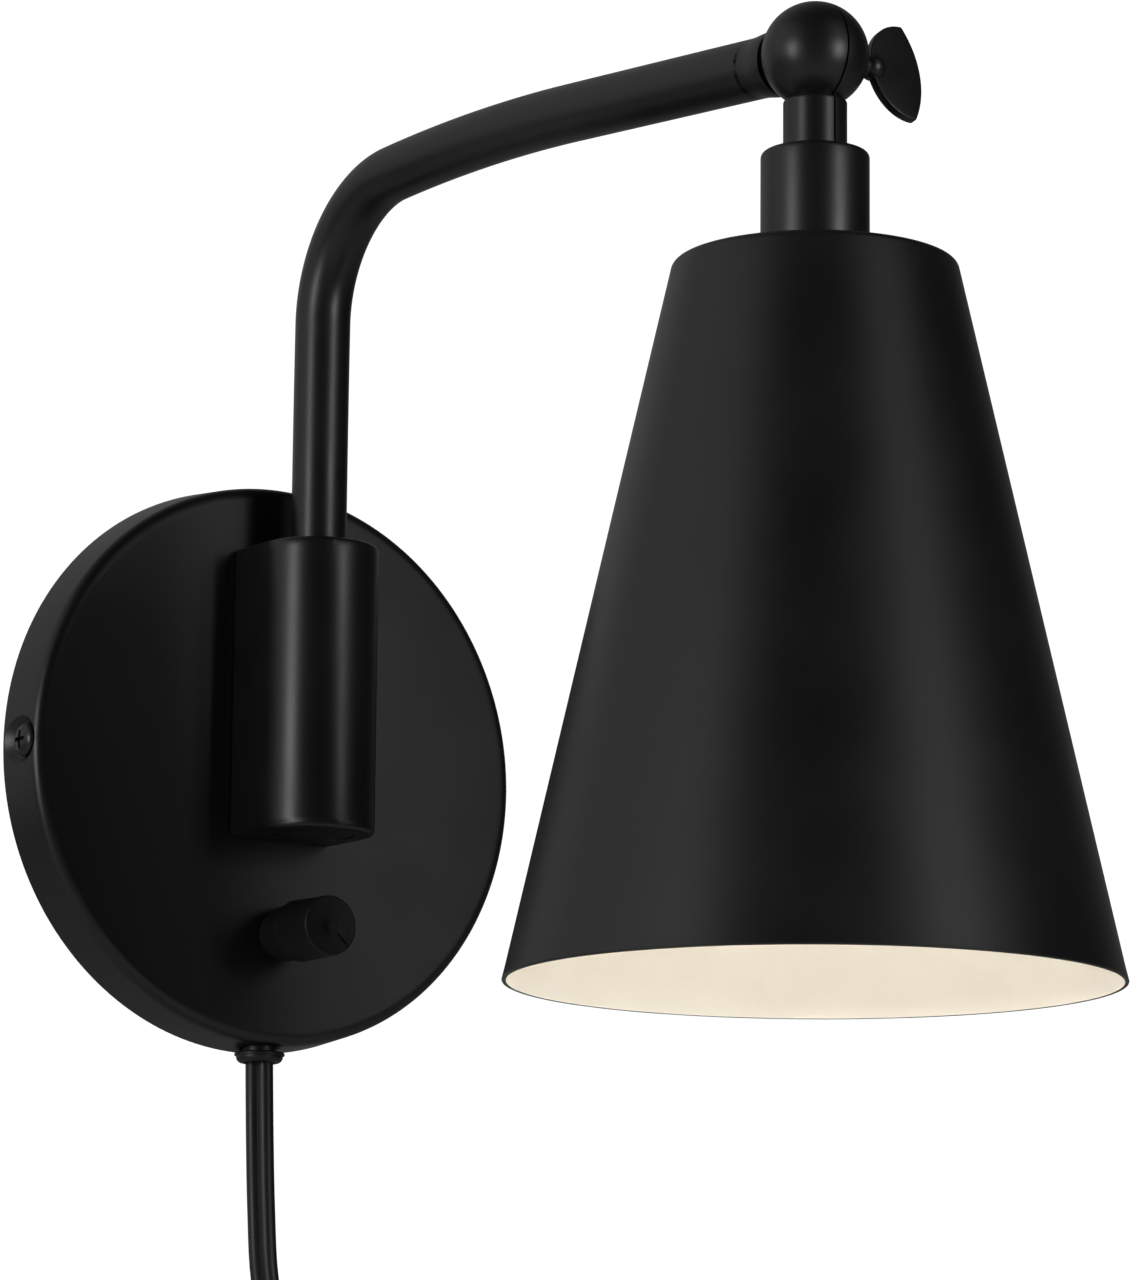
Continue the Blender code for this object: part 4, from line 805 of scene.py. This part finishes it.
def make_ball_half(word, side):
    """Half the ball with half its neck, parted from the other by a saw cut, slotted for the tongue."""
    groove = math.degrees(math.acos(0.0057 / BALL_RADIUS))
    low = -BALL_RADIUS * math.sin(math.radians(groove))
    ball = [(0.0002, BALL_RADIUS)] + arc(0, 0, BALL_RADIUS, 86, -groove, 44)
    shoulder = [(0.00575, low - 0.00012), (NECK_RADIUS - 0.0002, low - 0.0006)]
    shoulder += [(NECK_RADIUS - 0.00006, low - 0.00072), (NECK_RADIUS, low - 0.0009)]
    neck = [(NECK_RADIUS, low - 0.0012), (NECK_RADIUS, -0.0180), (NECK_RADIUS, NECK_END)]
    bore = [(NECK_BORE, NECK_END), (NECK_BORE, -0.0050), (0.0002, -0.0050)]
    half = turn_on_lathe(f"ball_half_{word}_piece", ball + shoulder + neck + bore, 96)
    saw_gap, other_half = 0.00025, 0.0300
    cut(half, box("other_half", (other_half, 0.05, 0.08), (side * (saw_gap - other_half / 2), 0, 0)))
    cut(half, swept_slot())
    cut(half, rod("screw_hole", 0.0023, 0.0214, (0.0037, 0, 0), RIGHTWARD, 32))
    place_at(half, BALL, UP)
    break_edges(half, 0.00012, 2, 50.0)
    return half


def make_thumbscrew():
    """Shank, a round boss and a paddle, round towards the ball and flatter outside, in one piece."""
    shank, boss = 0.0020, 0.0027
    neck = math.degrees(math.acos(shank / boss))
    centre = BALL_RADIUS + 0.0038
    profile = [(0.0003, centre + boss)] + arc(0, centre, boss, 80, -neck, 16)
    profile += [(shank, centre - 0.0024), (shank, -0.0060), (shank - 0.0004, -0.0064)]
    screw = turn_on_lathe("thumb_turn", profile, 48, BALL, RIGHTWARD)
    thick, depth, half_length, reach, lean = 0.0019, 0.0093, 0.0105, 0.0093, math.radians(77.0)
    outer_radius, outer_middle = 0.0199, -0.0137
    nothing_selected()
    bpy.ops.mesh.primitive_cylinder_add(vertices=96, radius=1.0, depth=thick, location=(0, 0, 0))
    paddle = bpy.context.object
    paddle.scale = (depth, half_length, 1.0)
    bpy.ops.object.transform_apply(scale=True)
    place_at(paddle, (0.0029, 0, 0), UP)
    outer_edge = rod("outer_edge", outer_radius, 0.0100, (outer_middle, 0, 0), UP, 192)
    work(paddle, outer_edge, "INTERSECT")
    break_edges(paddle, 0.0006, 5)
    place_at(paddle, BALL + Vector((BALL_RADIUS + reach, 0, 0)), (lean, 0.0, 0.0))
    join_on(screw, paddle)
    shade(screw, 35.0)
    return screw


for word, side in (("left", -1.0), ("right", 1.0)):
    finished(make_ball_half(word, side), BLACK_PAINT, "head", f"ball_half_{word}")
finished(make_thumbscrew(), BLACK_PAINT, "thumb", "thumbscrew")


# ---------------------------------------------------------------- shade and lampholder

AXIS = (0.0, BALL.y, 0.0)


def make_cup():
    """The turned collar under the ball, its top edge rounded over to the neck."""
    radius, edge, floor, bore = 0.0108, 0.0012, CUP_TOP - 0.0050, 0.0096
    seat = SHADE_TOP + 0.0002
    mouth = [(NECK_RADIUS + 0.0002, floor), (NECK_RADIUS + 0.0002, CUP_TOP - 0.0003)]
    mouth += [(NECK_RADIUS + 0.0005, CUP_TOP), (radius - edge - 0.0004, CUP_TOP)]
    corner = arc(radius - edge, CUP_TOP - edge, edge, 90, 0, 8)
    side = [(radius, CUP_TOP - 0.0030), (radius, SHADE_TOP + 0.0012), (radius - 0.0001, SHADE_TOP + 0.0003)]
    inside = [(radius - 0.0003, seat), (bore, seat), (bore, floor)]
    return turn_on_lathe("shade_collar", mouth + corner + side + inside, 96, AXIS, ring=True)


def make_shade():
    """A spun cone with a flat top and a rounded shoulder, black outside and cream inside."""
    top_radius, rim_radius, wall, edge = 0.0281, 0.0602, 0.0009, 0.0018
    slope = math.atan2(rim_radius - top_radius, SHADE_HEIGHT)
    rim = SHADE_TOP - SHADE_HEIGHT
    centre_r = top_radius - edge * (1.0 - math.sin(slope)) / math.cos(slope)
    tilt = math.degrees(slope)
    outer = [(0.0045, SHADE_TOP), (0.0110, SHADE_TOP), (centre_r - 0.0006, SHADE_TOP)]
    outer += arc(centre_r, SHADE_TOP - edge, edge, 90, tilt, 12)
    shoulder_r, shoulder_z = outer[-1]
    side = []
    for share in (0.02, 0.25, 0.5, 0.75, 0.98):
        side.append((shoulder_r + (rim_radius - shoulder_r) * share, shoulder_z + (rim - shoulder_z) * share))
    foot = [(rim_radius, rim + 0.0003), (rim_radius - 0.00008, rim + 0.0001), (rim_radius - 0.0003, rim)]
    inner_rim = rim_radius - wall / math.cos(slope)
    back = [(inner_rim + 0.0003, rim), (inner_rim + 0.00008, rim + 0.0001), (inner_rim, rim + 0.0003)]
    inner = arc(centre_r, SHADE_TOP - edge, edge - wall, tilt, 90, 8)
    inside = [(radius - wall / math.cos(slope), height) for radius, height in side[::-1]]
    lid = [(centre_r - 0.0006, SHADE_TOP - wall), (0.0110, SHADE_TOP - wall), (0.0045, SHADE_TOP - wall)]
    profile = outer + side + foot + back + inside + inner + lid
    return turn_on_lathe("shade_cone", profile, 256, AXIS, ring=True)


def line_with_cream(piece):
    """Gives the faces that look at the lamp the cream enamel."""
    piece.data.materials.append(CREAM_ENAMEL)
    axis = Vector(AXIS)
    for face in piece.data.polygons:
        out = face.center - axis
        flat = Vector((out.x, out.y, 0.0)).normalized()
        near_top = face.normal.z < -0.1 and face.center.z > SHADE_TOP - 0.005
        if face.normal.dot(flat) < -0.5 or near_top:
            face.material_index = 1


def make_shell():
    """The lampholder's brass shell with its rolled thread."""
    top, height, wall, depth, pitch = 0.0486, 0.0260, 0.0004, 0.0006, 0.00362
    steps = 84
    outer = []
    for index in range(steps + 1):
        down = height * index / steps
        wave = 0.5 - 0.5 * math.cos(2.0 * math.pi * down / pitch)
        outer.append((0.0136 - depth * wave, top - down))
    inner = [(radius - wall, level) for radius, level in outer]
    return turn_on_lathe("brass_shell", outer + inner[::-1], 72, AXIS, ring=True)


def make_holder_cap():
    top, low, corner, hole, bore = 0.06922, 0.05722, 0.0050, 0.0045, 0.0153
    ceiling = top - 0.0065
    dome = [(hole, top), (0.0105, top)] + arc(HOLDER_RADIUS - corner, top - corner, corner, 80, 0, 8)
    rim = [(HOLDER_RADIUS, low + 0.0006), (HOLDER_RADIUS - 0.0003, low), (bore, low)]
    inside = [(bore, ceiling), (hole, ceiling)]
    return turn_on_lathe("holder_cap_shell", dome + rim + inside, 80, AXIS, ring=True)


def make_holder_body():
    """The lampholder's lower part: ribbed grip rings outside, bored for the shell."""
    top, low, floor, hole, bore = 0.05692, 0.01692, 0.04892, 0.0027, 0.0139
    valley = HOLDER_RADIUS - 0.0004
    profile = [(hole, top), (0.0170, top), (HOLDER_RADIUS, top - 0.0005)]
    for index in range(6):
        level = top - 0.0060 - 0.0024 * index
        profile += [(HOLDER_RADIUS, level), (valley, level - 0.0004)]
        profile += [(valley, level - 0.0012), (HOLDER_RADIUS, level - 0.0016)]
    profile += [(HOLDER_RADIUS, low + 0.0010), (HOLDER_RADIUS - 0.0003, low + 0.0003), (0.0165, low)]
    profile += [(0.0146, low), (bore, low + 0.0006), (bore, floor), (hole, floor)]
    return turn_on_lathe("holder_sleeve", profile, 80, AXIS, ring=True)


def make_contact():
    """The sprung centre contact on its disc."""
    top = 0.04862
    disc = [(0.0004, top), (0.0055, top), (0.0055, top - 0.0006), (0.0052, top - 0.0008)]
    tip = [(0.0030, top - 0.0009), (0.0024, top - 0.0014), (0.0022, top - 0.0021)]
    tip += [(0.0018, top - 0.0022), (0.0004, top - 0.0022)]
    return turn_on_lathe("tip_contact", disc + tip, 40, AXIS)


finished(make_cup(), BLACK_PAINT, "head", "socket_cup")
shade_piece = make_shade()
finished(shade_piece, SHADE_PAINT, "head", "shade")
line_with_cream(shade_piece)
finished(make_holder_cap(), PHENOLIC, "head", "lampholder_cap")
finished(make_holder_body(), PHENOLIC, "head", "lampholder_body")
finished(make_shell(), BRASS, "head", "screw_shell")
finished(make_contact(), BRASS, "head", "centre_contact")

# ---------------------------------------------------------------- finishes of the nodes that stay

for node, finish in (
    ("body_screw_upper", ZINC), ("body_screw_lower", ZINC), ("swivel_stud", ZINC), ("swivel_nut", ZINC),
    ("threaded_nipple", ZINC), ("shade_washer", ZINC), ("shade_nut", ZINC), ("dimmer_shaft", ZINC),
    ("spring_washer", SPRING), ("thrust_washer", NYLON), ("hinge_tongue", BLACK_STEEL),
    ("inner_cord", VINYL), ("entry_lead", SLEEVING), ("arm_lead", SLEEVING), ("head_lead", SLEEVING),
):
    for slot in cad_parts[node].material_slots:
        slot.material = finish

# ---------------------------------------------------------------- floor and light

nothing_selected()
bpy.ops.mesh.primitive_plane_add(size=14.0, location=(0, 0, -0.75))
floor = bpy.context.object
floor.name = "studio_floor"
floor_finish, floor_tree, floor_shader, floor_place = nodes_of("pale_floor", (0.80, 0.80, 0.79), 0.8)
tint(floor_tree, noise(floor_tree, floor_place, 3.0), (0.79, 0.79, 0.78), (0.81, 0.81, 0.80),
     floor_shader.inputs["Base Color"])
floor.data.materials.append(floor_finish)

world = bpy.data.worlds.new("studio")
bpy.context.scene.world = world
world.use_nodes = True
sky = world.node_tree
surroundings = sky.nodes["Background"]
surroundings.inputs["Color"].default_value = (1.0, 1.0, 1.0, 1.0)
looking = sky.nodes.new("ShaderNodeTexCoord")
behind = sky.nodes.new("ShaderNodeVectorMath")
behind.operation = "DOT_PRODUCT"
behind.inputs[1].default_value = (-0.15, 0.985, 0.0)
dusk = sky.nodes.new("ShaderNodeMapRange")
dusk.inputs["From Min"].default_value = 0.0
dusk.inputs["From Max"].default_value = 1.0
dusk.inputs["To Min"].default_value = 0.016
dusk.inputs["To Max"].default_value = 0.38
sky.links.new(looking.outputs["Generated"], behind.inputs[0])
sky.links.new(behind.outputs["Value"], dusk.inputs["Value"])
sky.links.new(dusk.outputs["Result"], surroundings.inputs["Strength"])
backdrop = sky.nodes.new("ShaderNodeBackground")
backdrop.inputs["Color"].default_value = (1.0, 1.0, 1.0, 1.0)
backdrop.inputs["Strength"].default_value = 1.05
which = sky.nodes.new("ShaderNodeLightPath")
blend = sky.nodes.new("ShaderNodeMixShader")
sky.links.new(which.outputs["Is Camera Ray"], blend.inputs["Fac"])
sky.links.new(surroundings.outputs["Background"], blend.inputs[1])
sky.links.new(backdrop.outputs["Background"], blend.inputs[2])
sky.links.new(blend.outputs["Shader"], sky.nodes["World Output"].inputs["Surface"])

LOOK_AT = Vector((0.0, -0.12, 0.03))


def softbox(name, azimuth, elevation, distance, size, power):
    """A flat light at an angle round the lamp, from straight ahead towards its right."""
    data = bpy.data.lights.new(name, "AREA")
    data.shape = "RECTANGLE"
    data.size, data.size_y = size
    data.energy = power
    lamp = bpy.data.objects.new(name, data)
    bpy.context.scene.collection.objects.link(lamp)
    flat, high = math.radians(azimuth), math.radians(elevation)
    away = Vector((math.sin(flat) * math.cos(high), -math.cos(flat) * math.cos(high), math.sin(high)))
    lamp.location = LOOK_AT + away * distance
    lamp.rotation_euler = away.to_track_quat("Z", "Y").to_euler()
    lamp.visible_camera = False
    return lamp


softbox("strip_right", 13.0, 4.0, 1.7, (0.36, 0.70), 7.6)
softbox("strip_left", -84.0, 4.0, 1.7, (0.36, 0.70), 7.0)
softbox("panel_right", 18.0, 26.0, 2.2, (1.1, 2.2), 3.3)
softbox("panel_left", -104.0, 26.0, 2.2, (2.4, 2.2), 5.3)
under_shade = bpy.data.lights.new("under_shade", "AREA")
under_shade.shape = "DISK"
under_shade.size = 0.16
under_shade.energy = 0.21
under_shade.spread = math.radians(24.0)
under_lamp = bpy.data.objects.new("under_shade", under_shade)
bpy.context.scene.collection.objects.link(under_lamp)
under_lamp.location = (0.0, BALL.y, -0.45)
under_lamp.rotation_euler = (math.pi, 0.0, 0.0)
under_lamp.visible_camera = False
under_lamp.visible_glossy = False
